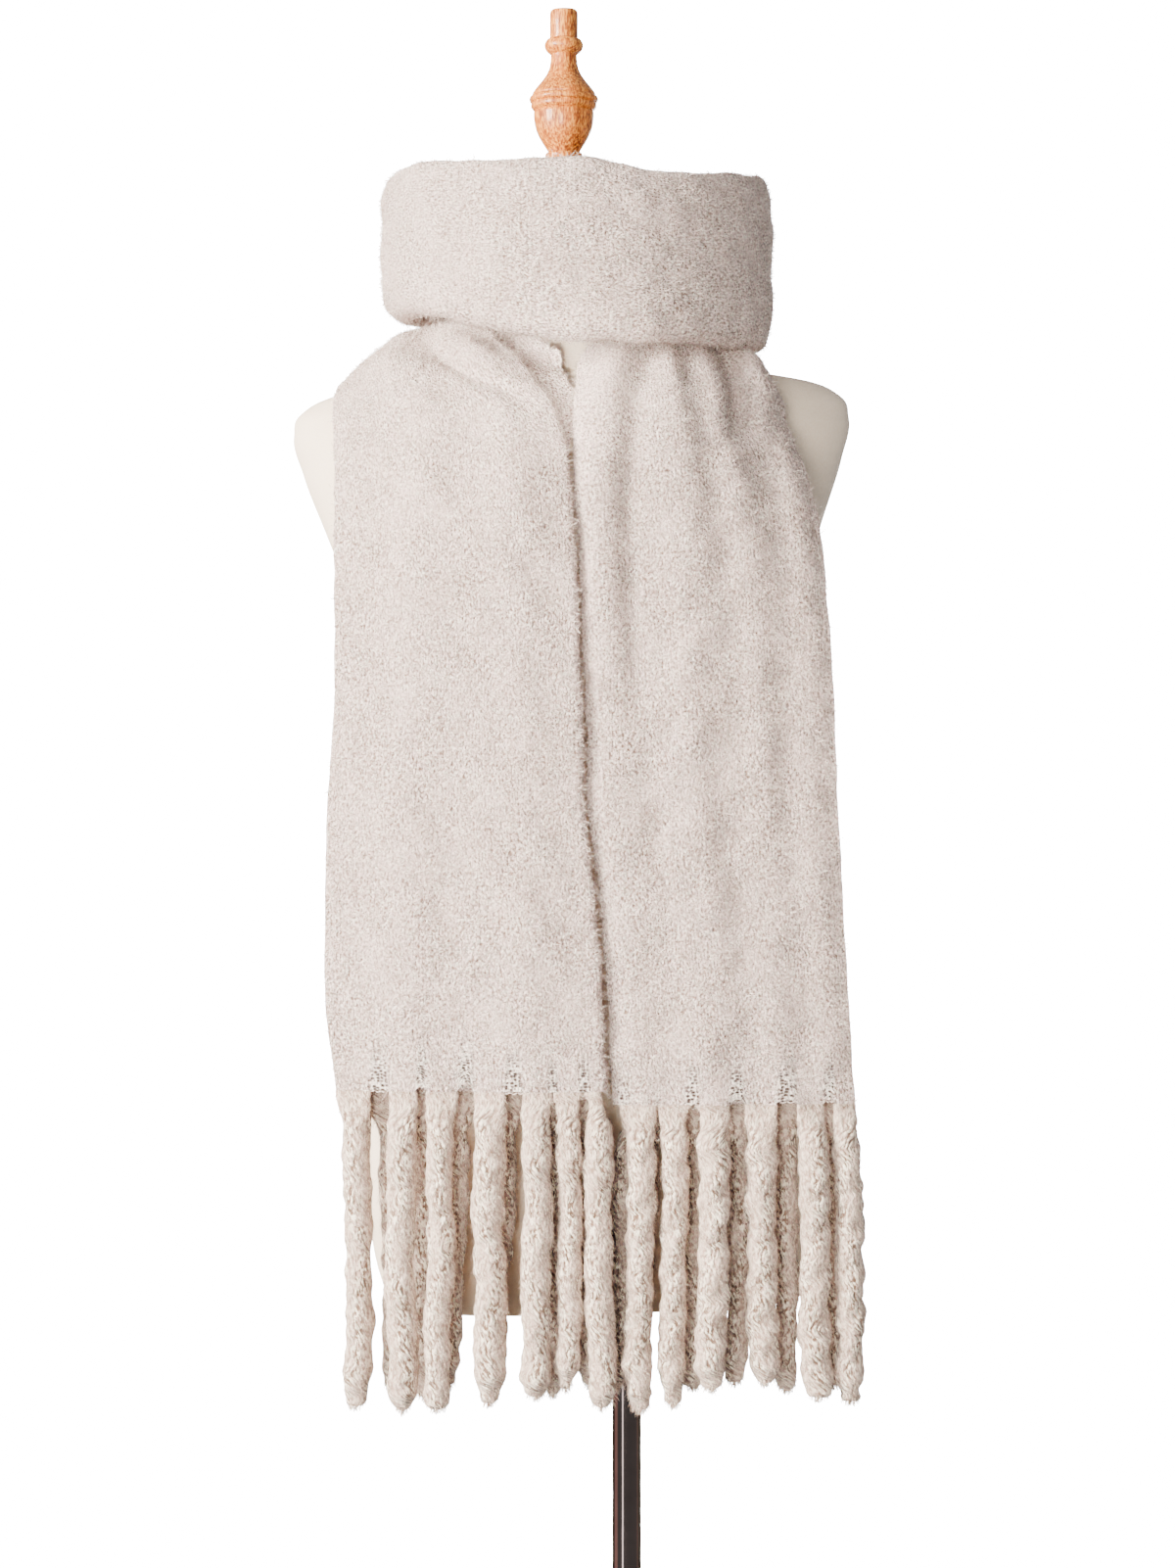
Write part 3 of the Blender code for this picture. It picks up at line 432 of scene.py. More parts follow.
def skin(name, grids, alongs=None, sharp=None, marks=None):
    """Mesh of tubes or turned surfaces from grids of one size, with UVs in metres: round each
    one, and down it or as alongs says."""
    quads = grid_quads(*grids[0].shape[:2])[0][:, ::-1]
    faces, uvs = [], []
    for number, grid in enumerate(grids):
        along = arc_lengths(grid, 0) if alongs is None else alongs[number]
        flat = np.stack([arc_lengths(grid, 1), along], -1).reshape(-1, 2)
        faces.append(quads + number * len(flat))
        uvs.append(flat[quads])
    vertices = np.concatenate(grids).reshape(-1, 3)
    mesh = new_mesh(name, vertices, np.concatenate(faces), np.concatenate(uvs), marks)
    weld(mesh)
    if sharp:
        mesh.set_sharp_from_angle(angle=math.radians(sharp))
    return mesh


def turned(outline, sides, x=0.0):
    """Grid of points of a turned surface, from (radius, z) points."""
    outline = np.array(outline)
    turns = np.linspace(0, 2 * math.pi, sides + 1)
    radius = outline[:, :1]
    z = np.broadcast_to(outline[:, 1:], (len(outline), sides + 1))
    return np.stack([x + radius * np.cos(turns), radius * np.sin(turns), z], -1)


def squared(values, power):
    """Sines or cosines of a circle, as those of a superellipse."""
    return np.sign(values) * np.abs(values) ** power


def piece(name, mesh, material, replaced=()):
    made = bpy.data.objects.new(name, mesh)
    mesh.materials.append(material)
    bpy.context.scene.collection.objects.link(made)
    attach(made, "root")
    if replaced:
        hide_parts(*replaced)
    return made


def grid_normals(points, ring=False):
    if ring:
        wrapped = np.concatenate([points[-2:-1], points, points[1:2]])
        along = np.gradient(wrapped, axis=0)[1:-1]
    else:
        along = np.gradient(points, axis=0)
    return unit(np.cross(np.gradient(points, axis=1), along))


def arc_lengths(points, axis):
    steps = np.linalg.norm(np.diff(points, axis=axis), axis=-1)
    zero = np.zeros_like(np.take(steps, [0], axis=axis))
    return np.concatenate([zero, np.cumsum(steps, axis=axis)], axis=axis)


def cloth_shell(name, middle, ring=False, fray=None):
    """Closed shell round a grid of points, its wall the cloth's. The second value is its two
    faces and their normals, as grids."""
    rows, columns = middle.shape[:2]
    normals = grid_normals(middle, ring)
    sides = [middle + normals * WALL / 2, middle - normals * WALL / 2]
    kept = rows - 1 if ring else rows
    vertices = np.concatenate([side[:kept].reshape(-1, 3) for side in sides])
    across = np.broadcast_to(arc_lengths(middle, 1).mean(axis=0), (rows, columns))
    along = np.broadcast_to(arc_lengths(middle, 0).mean(axis=1)[:, None], (rows, columns))
    flat = np.stack([across, along], -1).reshape(-1, 2)
    quads, open_quads = grid_quads(rows, columns, ring)
    second = kept * columns
    faces = [quads, quads[:, ::-1] + second]
    uvs = [flat[open_quads], flat[open_quads[:, ::-1]]]

    def rim(line):
        """Closes the wall between its two faces along one edge of the grid."""
        line = np.asarray(line)
        wrapped = line % second if ring else line
        strip = np.stack([wrapped[1:], wrapped[:-1], wrapped[:-1] + second, wrapped[1:] + second], 1)
        faces.append(strip)
        uvs.append(flat[np.stack([line[1:], line[:-1], line[:-1], line[1:]], 1)])

    index = np.arange(rows * columns).reshape(rows, columns)
    rim(index[::-1, 0])
    rim(index[:, -1])
    if not ring:
        rim(index[0])
        rim(index[-1, ::-1])
    frayed = np.zeros((kept, columns)) if fray is None else fray[:kept]
    marks = {"fray": np.concatenate([frayed.ravel()] * 2)}
    mesh = new_mesh(name, vertices, np.concatenate(faces), np.concatenate(uvs), marks)
    weld(mesh)
    mesh.set_sharp_from_angle(angle=math.radians(58))
    return mesh, sides, normals


# Cloth


def end_table(rows):
    rows = np.array(rows)
    middle = (rows[:, 0:3] + rows[:, 3:6]) / 2
    steps = np.linalg.norm(np.diff(middle, axis=0), axis=1)
    return np.concatenate([[0], np.cumsum(steps)]), rows


def base_surface(table, places, shares):
    values = through(*table, places)
    left, right, bow = values[:, None, 0:3], values[:, None, 3:6], values[:, None, 6:7]
    inside = np.clip(places, table[0][0] + STEP, table[0][-1] - STEP)
    ahead, behind = through(*table, inside + STEP), through(*table, inside - STEP)
    upward = unit((ahead - behind)[:, None, 0:3] + (ahead - behind)[:, None, 3:6])
    outward = unit(np.cross(unit(right - left), upward))
    shares = shares[..., None]
    return left + (right - left) * shares + outward * bow * 4 * shares * (1 - shares)


def surface_frame(table, places, shares):
    point = base_surface(table, places, shares)
    across = unit(
        base_surface(table, places, shares + STEP) - base_surface(table, places, shares - STEP)
    )
    inside = np.clip(places, table[0][0] + STEP, table[0][-1] - STEP)
    upward = base_surface(table, inside + STEP, shares) - base_surface(table, inside - STEP, shares)
    return point, unit(np.cross(across, upward)), across


def pleat_height(pleats, height, shares):
    total = np.zeros_like(shares)
    for centres, heights, half_width in pleats:
        centre = np.interp(height, PLEAT_Z, centres)[:, None]
        ridge = np.interp(height, PLEAT_Z, heights)[:, None]
        total += ridge * np.exp(-(((shares - centre) / half_width) ** 2))
    return total * np.clip(np.minimum(shares, 1 - shares) / PLEAT_EDGE_FADE, 0, 1)


def crease_depth(points, creases):
    """Depth of the creases at points of the front layer, by their distance in x and z."""
    flat = points[..., (0, 2)]
    total = np.zeros(points.shape[:-1])
    for line, depth, half_width in creases:
        line = np.array(line)
        ends = np.linspace(0, len(line) - 1, 60)
        fine = through(np.arange(len(line)), line, ends)
        fade = np.sin(np.pi * np.clip(ends / (len(line) - 1), 0.04, 0.96)) ** 0.6
        apart = np.linalg.norm(flat[..., None, :] - fine, axis=-1)
        nearest = apart.argmin(axis=-1)
        near = np.take_along_axis(apart, nearest[..., None], -1)[..., 0]
        total += depth * fade[nearest] * np.exp(-((near / half_width) ** 2))
    return total


def fold_round(start, centre_depth, direction, across, normal):
    turns = np.linspace(0, math.pi, FOLD_STEPS + 1)[1:-1]
    radius = LAYER_PITCH / 2
    centre = start - normal * centre_depth
    return [centre + radius * (math.cos(a) * normal + math.sin(a) * direction * across) for a in turns]


def folded_end(rows, pleats, creases, reach, fold_at_right):
    """Grid of points through the three layers of a hanging end: front, middle, rear."""
    table = end_table(rows)
    places = np.linspace(0, table[0][-1], round(table[0][-1] / ROW_SPACING) + 1)
    values = through(*table, places)
    width = np.linalg.norm(values[:, 3:6] - values[:, 0:3], axis=1)[:, None]
    height = (values[:, 2:3] + values[:, 5:6]) / 2
    rear_start = values[:, 7:8] / width
    fold_inset, free_inset = FOLD_REACH / width, (WALL / 2) / width

    def place(from_free, depth):
        share = from_free if fold_at_right else 1 - from_free
        point, normal, across = surface_frame(table, places, share)
        return point - normal * depth, normal, across

    onward = 1.0 if fold_at_right else -1.0
    columns = []
    ridge_z = np.minimum(values[:, 5 if fold_at_right else 2], PLEAT_Z[-1])
    for share in np.linspace(0, 1, FRONT_COLUMNS):
        from_free = free_inset + share * (1 - free_inset - fold_inset)
        from_left = from_free if fold_at_right else 1 - from_free
        raised = pleat_height(pleats, ridge_z, from_left)[..., None]
        point, normal, _ = place(from_free, -raised)
        edge = smooth(min(share, 1 - share) / CREASE_EDGE_FADE)
        columns.append(point - normal * (crease_depth(point, creases) * edge)[..., None])
    at_fold = place(1 - fold_inset, 0.0)
    columns += fold_round(at_fold[0], LAYER_PITCH / 2, onward, at_fold[2], at_fold[1])
    hidden = np.linspace(0, 1, HIDDEN_COLUMNS)
    for share in hidden[::-1]:
        from_free = rear_start + share * (1 - fold_inset - rear_start)
        columns.append(place(from_free, LAYER_PITCH)[0])
    at_fold = place(rear_start, 0.0)
    columns += fold_round(at_fold[0], 1.5 * LAYER_PITCH, -onward, at_fold[2], at_fold[1])
    rear_stop = 1 - fold_inset + np.interp(height, REACH_Z, reach) / width
    for share in hidden:
        from_free = rear_start + share * (rear_stop - rear_start)
        over = np.clip(from_free - (1 - fold_inset), 0, None) * width
        over = over * smooth((height - REACH_BEND_Z[0]) / (REACH_BEND_Z[1] - REACH_BEND_Z[0]))
        column = place(from_free, 2 * LAYER_PITCH)[0]
        column[..., 1] += over * REACH_BEND
        columns.append(column)
    return np.stack([column[:, 0] for column in columns], axis=1)


def band_section(height):
    """Inward depth and height above the foot of points through the band's rolled layers."""
    depth = BAND_DEPTHS
    turns = np.linspace(0, math.pi, FOLD_STEPS + 3)

    def layer(name, low, high):
        return [(depth[name], share * height) for share in np.linspace(low, high, BAND_POINTS[name])]

    def turn(first, second, level, way=1):
        """Half a turn from one layer to the next, upward or, with way -1, downward."""
        middle, radius = (depth[first] + depth[second]) / 2, (depth[first] - depth[second]) / 2
        rise = way * abs(radius)
        return [(middle + radius * math.cos(a), level + rise * math.sin(a)) for a in turns]

    foot = (depth["middle"] - depth["outer"]) / 2 + WALL / 2
    top = height - (depth["tuck"] - depth["outer"]) / 2 - WALL / 2
    section = layer("inner", 0.12, 0.8) + turn("inner", "middle", 0.84 * height)
    section += layer("middle", 0.79, 0.12) + turn("middle", "outer", foot, -1)
    section += layer("outer", 0.12, 0.94) + turn("outer", "tuck", top)
    section += layer("tuck", 0.92, 0.58)
    return np.array(section)


def band_crease(angle, share):
    depth = 0.0
    for centre, level, half_width, half_height, deepest in BAND_CREASES:
        apart = (angle - centre + 180) % 360 - 180
        depth += deepest * np.exp(-((apart / half_width) ** 2) - ((share - level) / half_height) ** 2)
    return depth


def band_grid():
    angles = np.linspace(0, 360, BAND_SEGMENTS + 1)
    known = np.array(BAND_EDGES, float)
    wrapped = np.concatenate([known[-2:] - (360, 0, 0), known, known[:2] + (360, 0, 0)])
    edges = through(wrapped[:, 0], wrapped[:, 1:], angles)
    rows = []
    across, fore_aft = BAND_RADII
    face_depth = BAND_DEPTHS["outer"]
    for angle, (top, bottom) in zip(angles, edges):
        sin, cos = math.sin(math.radians(angle)), math.cos(math.radians(angle))
        section = band_section(top - bottom)
        outward = unit(np.array([fore_aft * sin, -across * cos, 0.0]))
        edge = np.array([BAND_CENTRE[0] + across * sin, BAND_CENTRE[1] - fore_aft * cos, bottom])
        share = section[:, 1] / (top - bottom)
        inward = section[:, 0] + BAND_LEAN * np.abs(2 * share - 1) ** 4
        through_wall = (section[:, 0] - face_depth) / (BAND_DEPTHS["inner"] - face_depth)
        inward = inward + band_crease(angle, share) * (1 - through_wall)
        rows.append(edge - outward * inward[:, None] + np.array([0, 0, 1]) * section[:, 1:2])
    rows[-1] = rows[0]
    return np.array(rows)


def lumpy(middle, seed, ring=False):
    """The cloth's middle with the soft unevenness of a thick brushed weave."""
    normals = grid_normals(middle, ring)
    return middle + normals * uneven(middle, CLOTH_LUMPS, seed)[..., None]


# Nap


def fibres(name, groups, seed, sizes, material, fall=0.0):
    """Curved hairs of two segments on groups of scattered roots, as one mesh of thin blades.
    fall draws each one down."""
    roots, normals, along = (np.concatenate(group) for group in zip(*groups))
    length, width, lift = sizes
    rng = np.random.default_rng(seed)
    count = len(roots)
    side = np.cross(normals, along)
    heading = rng.uniform(0, 2 * math.pi, count)[:, None]
    fall = np.broadcast_to(fall, (count,))[:, None]
    lying = unit(np.cos(heading) * along + 0.8 * np.sin(heading) * side - fall * np.array([0, 0, 1]))
    rise = (lift * rng.gamma(1.6, 0.6, count))[:, None]
    lengths = (length * rng.uniform(0.45, 1.25, count))[:, None]
    first = unit(lying + normals * rise)
    bend = rng.normal(0, 0.55, (count, 1)) * np.cross(first, normals)
    bend = bend + rng.normal(0, 0.25, (count, 1)) * normals
    second = unit(first + bend - 0.25 * rise * normals)
    middle = roots + first * lengths * 0.5
    tip = middle + second * lengths * 0.5
    broad = unit(np.cross(first, normals)) * width / 2
    vertices = np.stack([roots - broad, roots + broad, middle + broad * 0.8, middle - broad * 0.8, tip], 1)
    base = np.arange(count)[:, None] * 5
    faces = np.concatenate([base + (0, 1, 2), base + (0, 2, 3), base + (3, 2, 4)])
    return piece(name, new_mesh(name, vertices.reshape(-1, 3), faces), material)


def scatter(points, normals, count, seed, weight):
    """Random places on a grid of points, by its area and the weight, with the normal and the
    direction down the grid at each."""
    rng = np.random.default_rng(seed)
    a, b, c = points[:-1, :-1], points[:-1, 1:], points[1:, :-1]
    area = np.linalg.norm(np.cross(b - a, c - a), axis=-1) * weight[:-1, :-1]
    chosen = rng.choice(area.size, count, p=(area / area.sum()).ravel())
    i, j = np.divmod(chosen, area.shape[1])
    u, v = rng.uniform(size=(2, count, 1))
    place = (
        points[i, j] * (1 - u) * (1 - v)
        + points[i, j + 1] * u * (1 - v)
        + points[i + 1, j] * (1 - u) * v
        + points[i + 1, j + 1] * u * v
    )
    along = unit(points[i + 1, j] - points[i, j])
    return place, normals[i, j], along


# Fringe


def hem_arches(locks, gaps):
    """Middle, width and rise of the gap at the hem between each lock and the next."""
    return [((a[0] + b[0]) / 2, *gap) for a, b, gap in zip(locks, locks[1:], gaps)]


def cut_arches(middle, columns, arches):
    """Lifts the hem in the gaps between the locks, and marks the frayed weave above them."""
    fray = np.zeros(middle.shape[:2])
    hem = middle[0, columns].copy()
    for centre, width, top in arches:
        apart = np.abs(hem[:, 0] - centre) / (width / 2)
        rise = max(top, 0) * np.clip(1 - apart**2, 0, 1) ** 0.4
        for row, share in enumerate((1, 0.8, 0.6, 0.4, 0.2)):
            middle[row, columns, 2] += rise * share
        above = (middle[:, columns, 2] - hem[:, 2] - top) / FRAY_HEIGHT
        half_width = 0.55 * width * (1.05 - 0.55 * above) + 0.0012
        reach = np.abs(middle[:, columns, 0] - centre) / half_width
        worn = np.clip(1.5 - 1.5 * reach**2, 0, 1) * np.clip(1.6 - 1.6 * above, 0, 1)
        fray[:, columns] += worn * (above > -0.25)
    return np.clip(fray, 0, 1)


def arch_side(arch, drop):
    """How far one side of a gap stands from its middle, this far below the hem."""
    _, width, top = arch
    opened = np.clip((drop + min(top, 0)) / ARCH_CORNER, 0, 1)
    return max(LEAST_GAP, width / 2 * math.sqrt(1 - (1 - opened) ** 2)) if top < 0 else width / 2


def tip_shape(left, tail, narrow):
    """Radius as a share of a lock's own, at the height left above its end: a soft swelling,
    then a narrower tail with a round end."""
    swell = 1 + 0.03 * math.exp(-(((left - tail - 0.013) / 0.01) ** 2))
    body = narrow + (swell - narrow) * float(smooth((left - tail) / 0.012))
    return body * math.sqrt(max(0.02, 1 - max(0, 1 - left / 0.0045) ** 2))


def lock_rings(lock, low, high, hem, top, swing, way, ply_depth, seed):
    """Rings of one lock: a flat tongue of the cloth, then a two-ply twist to its tip. The
    second value marks the bare core of the yarn."""
    root_x, tip_x, end_z, width = lock
    rng = np.random.default_rng(seed)
    length = top - end_z
    body = np.linspace(ROPE_BODY, length - ROPE_TAIL, ROPE_RINGS - TAIL_RINGS - len(ROPE_STARTS))
    tail_end = length - ROPE_TAIL * np.linspace(0.9, 0, TAIL_RINGS)
    theta = np.linspace(0, 2 * math.pi, ROPE_SIDES, endpoint=False)
    corner, thick = squared(np.cos(theta), 0.6), squared(np.sin(theta), 0.6)
    phase = rng.uniform(0, math.pi)
    sway = rng.uniform(0, 2 * math.pi, 6)
    tail, narrow = rng.uniform(0.0, 0.008), rng.uniform(0.58, 0.9)
    centre_y = float(np.interp(root_x, hem[:, 0], hem[:, 1]))
    rings, cores = [], []
    for drop in (*ROPE_STARTS, *body, *tail_end):

        def wave(rate, start):
            return math.sin(drop * rate + sway[start])

        blend = float(smooth(drop / ROPE_FAN))
        free = float(smooth(drop / 0.08))
        left, right = low[0] + arch_side(low, drop), high[0] - arch_side(high, drop)
        inset = HELD_INSET if drop < -0.0005 else 0
        half_thick = HELD_THICK if drop < -0.003 else SEAM_THICK if drop < 0 else TONGUE_THICK
        flat_x = (left + right) / 2 + ((right - left) / 2 - inset) * corner
        flat_y = np.interp(flat_x, hem[:, 0], hem[:, 1]) + half_thick * thick
        x = root_x + (tip_x - root_x) * max(drop, 0) / length
        x += free * 0.0011 * (wave(33, 0) + 0.6 * wave(74, 1))
        y = centre_y - swing * min(1, max(0, drop / SWING_DROP))
        y += free * 0.0007 * wave(46, 2)
        turn = way * 2 * math.pi * drop / ROPE_PITCH + phase
        turn += 0.5 * wave(29, 4)
        half = width / 2 * (1.0 + 0.04 * wave(57, 3) + 0.02 * wave(131, 1))
        half *= tip_shape(length - drop, tail, narrow)
        lobe, apart = (1.02 - ply_depth) * half, ply_depth * half
        twist = theta - turn
        round_ = apart * np.abs(np.cos(twist)) + np.sqrt(lobe**2 - (apart * np.sin(twist)) ** 2)
        ply = np.stack([x + round_ * np.cos(theta), y + round_ * np.sin(theta)], -1)
        tongue = np.stack([flat_x, flat_y], -1)
        section = tongue * (1 - blend) + ply * blend
        rings.append(np.concatenate([section, np.full((ROPE_SIDES, 1), top - drop)], -1))
        from_wander = theta - 0.55 * wave(41, 5) - 0.3 * wave(97, 0) + math.pi
        off = np.array([(from_wander - at) % (2 * math.pi) - math.pi for at in CORE_ANGLES])
        core = np.exp(-((off / CORE_HALF_WIDTH) ** 2)).sum(axis=0)
        cores.append(core * float(smooth((drop - 0.004) / 0.02)))
    return np.array(rings), np.clip(cores, 0, 1)


def fringe_row(name, node, hem, locks, arches, swing, way, ply_depth, seed, material):
    """The twisted locks of one row. Returns each lock's surface and normals, and how thick the
    nap is on it."""
    hem = hem[np.argsort(hem[:, 0])]
    top = float(hem[:, 2].min()) - SEAM
    bounds = [(hem[0, 0] - WALL / 4, LEAST_GAP, 0), *arches, (hem[-1, 0] + WALL / 4, LEAST_GAP, 0)]
    grids, cores, surfaces = [], [], []
    for number, lock in enumerate(locks):
        low, high = bounds[number : number + 2]
        rings, core = lock_rings(lock, low, high, hem, top, swing, way, ply_depth, seed + number)
        closed = np.concatenate([rings, rings[:, :1]], axis=1)
        core = np.concatenate([core, core[:, :1]], axis=1)
        middles = rings.mean(axis=1, keepdims=True)
        normals = grid_normals(closed)
        normals[:, 0] = normals[:, -1] = unit(normals[:, 0] + normals[:, -1])
        normals *= np.where((normals * (closed - middles)).sum(-1, keepdims=True) < 0, -1, 1)
        bumps = uneven(closed, LOCK_LUMPS, seed + 40)
        fade = smooth((top - closed[..., 2]) / 0.02)
        closed = closed + normals * (bumps * fade)[..., None]
        closed[0], closed[-1] = middles[0], middles[-1]
        grids.append(closed)
        cores.append(core.ravel())
        surfaces.append((closed, normals, 1 - CORE_BARE * core))
    alongs = [top - grid[..., 2] for grid in grids]
    mesh = skin(name, grids, alongs, marks={"core": np.concatenate(cores)})
    piece(name, mesh, material, [node])
    return surfaces


def hem_threads(name, hem, arches, material, seed):
    """The last loose wefts, slack across each gap in the hem, as thin wavy tubes."""
    rng = np.random.default_rng(seed)
    around = np.linspace(0, 2 * math.pi, THREAD_SIDES + 1)
    ring = np.stack([0 * around, np.cos(around), np.sin(around)], -1) * THREAD_RADIUS
    closing = np.ones((THREAD_STEPS, 1, 1))
    closing[0] = closing[-1] = 0
    t = np.linspace(0, 1, THREAD_STEPS)
    grids = []
    for centre, width, top in arches:
        for level in THREAD_LEVELS:
            x = centre + (t - 0.5) * (width + THREAD_OVERLAP)
            z = float(hem[:, 2].min()) + (top + level) - THREAD_SLACK * np.sin(math.pi * t)
            z = z + 0.0005 * np.sin(t * rng.uniform(14, 26) + rng.uniform(0, 6))
            y = np.interp(x, hem[:, 0], hem[:, 1]) - THREAD_OUT
            y = y + 0.0004 * np.sin(t * 17 + rng.uniform(0, 6))
            grids.append(np.stack([x, y, z], -1)[:, None] + ring * closing)
    return piece(name, skin(name, grids), material)


# Form and stand


def lathe(name, profile, x, sides, material, node, rings=3):
    """A turned piece from (radius, z) points, top to bottom, closed to its axis."""
    profile = np.array(profile)
    corners = [profile[0] * (0, 1), *profile, profile[-1] * (0, 1)]
    outline = []
    for first, second in zip(corners, corners[1:]):
        outline += [first + (second - first) * t for t in np.linspace(0, 1, rings, endpoint=False)]
    mesh = skin(name, [turned(outline + corners[-1:], sides, x)], sharp=42)
    piece(name, mesh, material, [node])


def form_shape(material):
    """The torso: the solid's own sections, with finer ones between, under a drawn cover."""
    sections = np.array(FORM_SECTIONS)
    heights = np.unique(np.concatenate([np.linspace(0, 0.75, 90), np.linspace(0.56, 0.7, 60)]))
    values = through(sections[:, 0], sections[:, 1:], heights)
    turns = np.linspace(0, 2 * math.pi, FORM_SIDES + 1)
    depth = -np.cos(turns)
    x = squared(np.sin(turns), 2 / FORM_ROUNDNESS) * values[:, :1]
    y = squared(depth, 2 / FORM_ROUNDNESS) * np.where(depth < 0, values[:, 1:2], values[:, 2:3])
    local = np.stack([x, y, np.broadcast_to(heights[:, None], x.shape)], -1)
    local = np.concatenate([local[:1] * (0, 0, 1), local, local[-1:] * (0, 0, 1)])
    cos, sin = math.cos(FORM_LEAN), math.sin(FORM_LEAN)
    lean = np.array([[cos, 0, -sin], [0, 1, 0], [sin, 0, cos]])
    mesh = skin("form_cover", [local @ lean.T + FORM_BASE], sharp=50)
    piece("form_cover", mesh, material, ["form_torso"])


# Materials


class Nodes:
    """Short names for the nodes of one material."""

    def __init__(self, name, colour, roughness, **settings):
        self.material = bpy.data.materials.new(name)
        self.material.use_nodes = True
        self.tree = self.material.node_tree
        self.shader = self.tree.nodes["Principled BSDF"]
        for key, value in dict(settings, Base_Color=colour, Roughness=roughness).items():
            socket = self.shader.inputs[key.replace("_", " ")]
            socket.default_value = (*value, 1) if isinstance(value, tuple) else value
        coords = self.add("TexCoord").outputs
        self.space, self.flat = coords["Object"], coords["UV"]

    def add(self, kind, inputs=(), **settings):
        node = self.tree.nodes.new("ShaderNode" + kind)
        for key, value in settings.items():
            setattr(node, key, value)
        for key, value in dict(inputs).items():
            if isinstance(value, bpy.types.NodeSocket):
                self.tree.links.new(value, node.inputs[key])
            else:
                node.inputs[key].default_value = value
        return node

    def link(self, value, socket):
        self.tree.links.new(value, self.shader.inputs[socket])

    def pattern(self, kind, vector, scale, **settings):
        """A texture at one scale, or at a scale for each axis."""
        if isinstance(scale, tuple):
            vector = self.add("Mapping", {"Vector": vector, "Scale": scale}).outputs[0]
            scale = 1.0
        return self.add(kind, {"Vector": vector, "Scale": scale, **settings}).outputs[0]

    def noise(self, vector, scale, detail=3.0, roughness=0.55, distortion=0.0):
        settings = dict(Detail=detail, Roughness=roughness, Distortion=distortion)
        return self.pattern("TexNoise", vector, scale, **settings)

    def cells(self, vector, scale, randomness):
        return self.pattern("TexVoronoi", vector, scale, Randomness=randomness)

    def mark(self, name):
        return self.add("Attribute", attribute_name=name).outputs["Fac"]

    def ramp(self, value, low, high, start=0.0, stop=1.0):
        inputs = {"Value": value, "From Min": low, "From Max": high, "To Min": start, "To Max": stop}
        return self.add("MapRange", inputs).outputs[0]

    def times(self, first, second):
        return self.add("Math", {0: first, 1: second}, operation="MULTIPLY").outputs[0]

    def plus(self, first, second):
        return self.add("Math", {0: first, 1: second}, operation="ADD").outputs[0]

    def mix(self, factor, first, second):
        first, second = ((*c, 1) if isinstance(c, tuple) else c for c in (first, second))
        return self.add("Mix", {0: factor, 6: first, 7: second}, data_type="RGBA").outputs[2]

    def paint(self, colour, *coats):
        """The base colour: one colour under coats of others, each through its own mask."""
        for mask, coat in coats:
            colour = self.mix(mask, colour, coat)
        self.link(colour, "Base Color")

    def bump(self, height, distance, strength=1.0):
        inputs = {"Height": height, "Distance": distance, "Strength": strength}
        self.link(self.add("Bump", inputs).outputs[0], "Normal")


def brushed_cloth(name):
    """Thick brushed weave: stitches in columns, cream and brown flecks where the nap is thin,
    pale felted patches where it lies thick, and open rungs above the fringe, their holes in painted shade."""
    sheen = dict(Sheen_Weight=0.22, Sheen_Roughness=0.5, Sheen_Tint=(1.0, 0.95, 0.9))
    n = Nodes(name, CLOTH, 0.95, Specular_IOR_Level=0.15, **sheen)
    wander = n.add("TexNoise", {"Vector": n.flat, "Scale": 90.0}).outputs[1]
    wander = n.add("VectorMath", {0: wander, 3: WEAVE_WANDER}, operation="SCALE").outputs[0]
    warped = n.add("VectorMath", {0: n.flat, 1: wander}, operation="ADD").outputs[0]
    stitches = n.cells(warped, (560, 400, 1), 0.6)
    flecks = n.noise(warped, (740, 380, 1), 2, 0.6)
    holes = n.cells(warped, (390, 470, 1), 0.55)
    fuzz = n.noise(n.space, 330, 3, 0.7)
    thin = n.ramp(n.noise(n.space, 34, 4, 0.6), 0.36, 0.58, 0.45, 1.0)
    mottle = n.ramp(n.noise(n.space, 75), 0.34, 0.66, 0.0, 0.55)
    speck = n.mix(n.ramp(n.noise(n.space, 240, 1), 0.42, 0.6), SPECK_PINK, SPECK_CREAM)
    fray = n.mark("fray")
    open_weave = n.times(n.ramp(holes, 0.5, 0.32), fray)
    n.paint(
        CLOTH_DARK,
        (n.ramp(n.noise(n.space, 10, 2), 0.35, 0.65), CLOTH),
        (mottle, CLOTH_LIGHT),
        (n.ramp(fuzz, 0.42, 0.66, 0.0, 0.55), CLOTH_LIGHT),
        (n.times(n.ramp(stitches, 0.36, 0.8), thin), CLOTH_SHADE),
        (n.times(n.ramp(flecks, 0.47, 0.38, 0.0, 0.8), thin), CLOTH_BROWN),
        (n.times(n.ramp(flecks, 0.51, 0.58), thin), speck),
        (n.times(n.ramp(holes, 0.48, 0.64, 0.0, 0.8), fray), SPECK_CREAM),
        # painted shade: the open weave's holes, dark as the shaded space behind them
        (open_weave, HOLE_SHADE),
    )
    height = n.times(n.ramp(stitches, 0.0, 0.8, 1.0, 0.0), thin)
    height = n.plus(n.plus(height, n.times(flecks, 1.2)), n.times(fuzz, 1.6))
    n.bump(n.plus(height, n.times(open_weave, -1.2)), 0.0018)
    return n.material


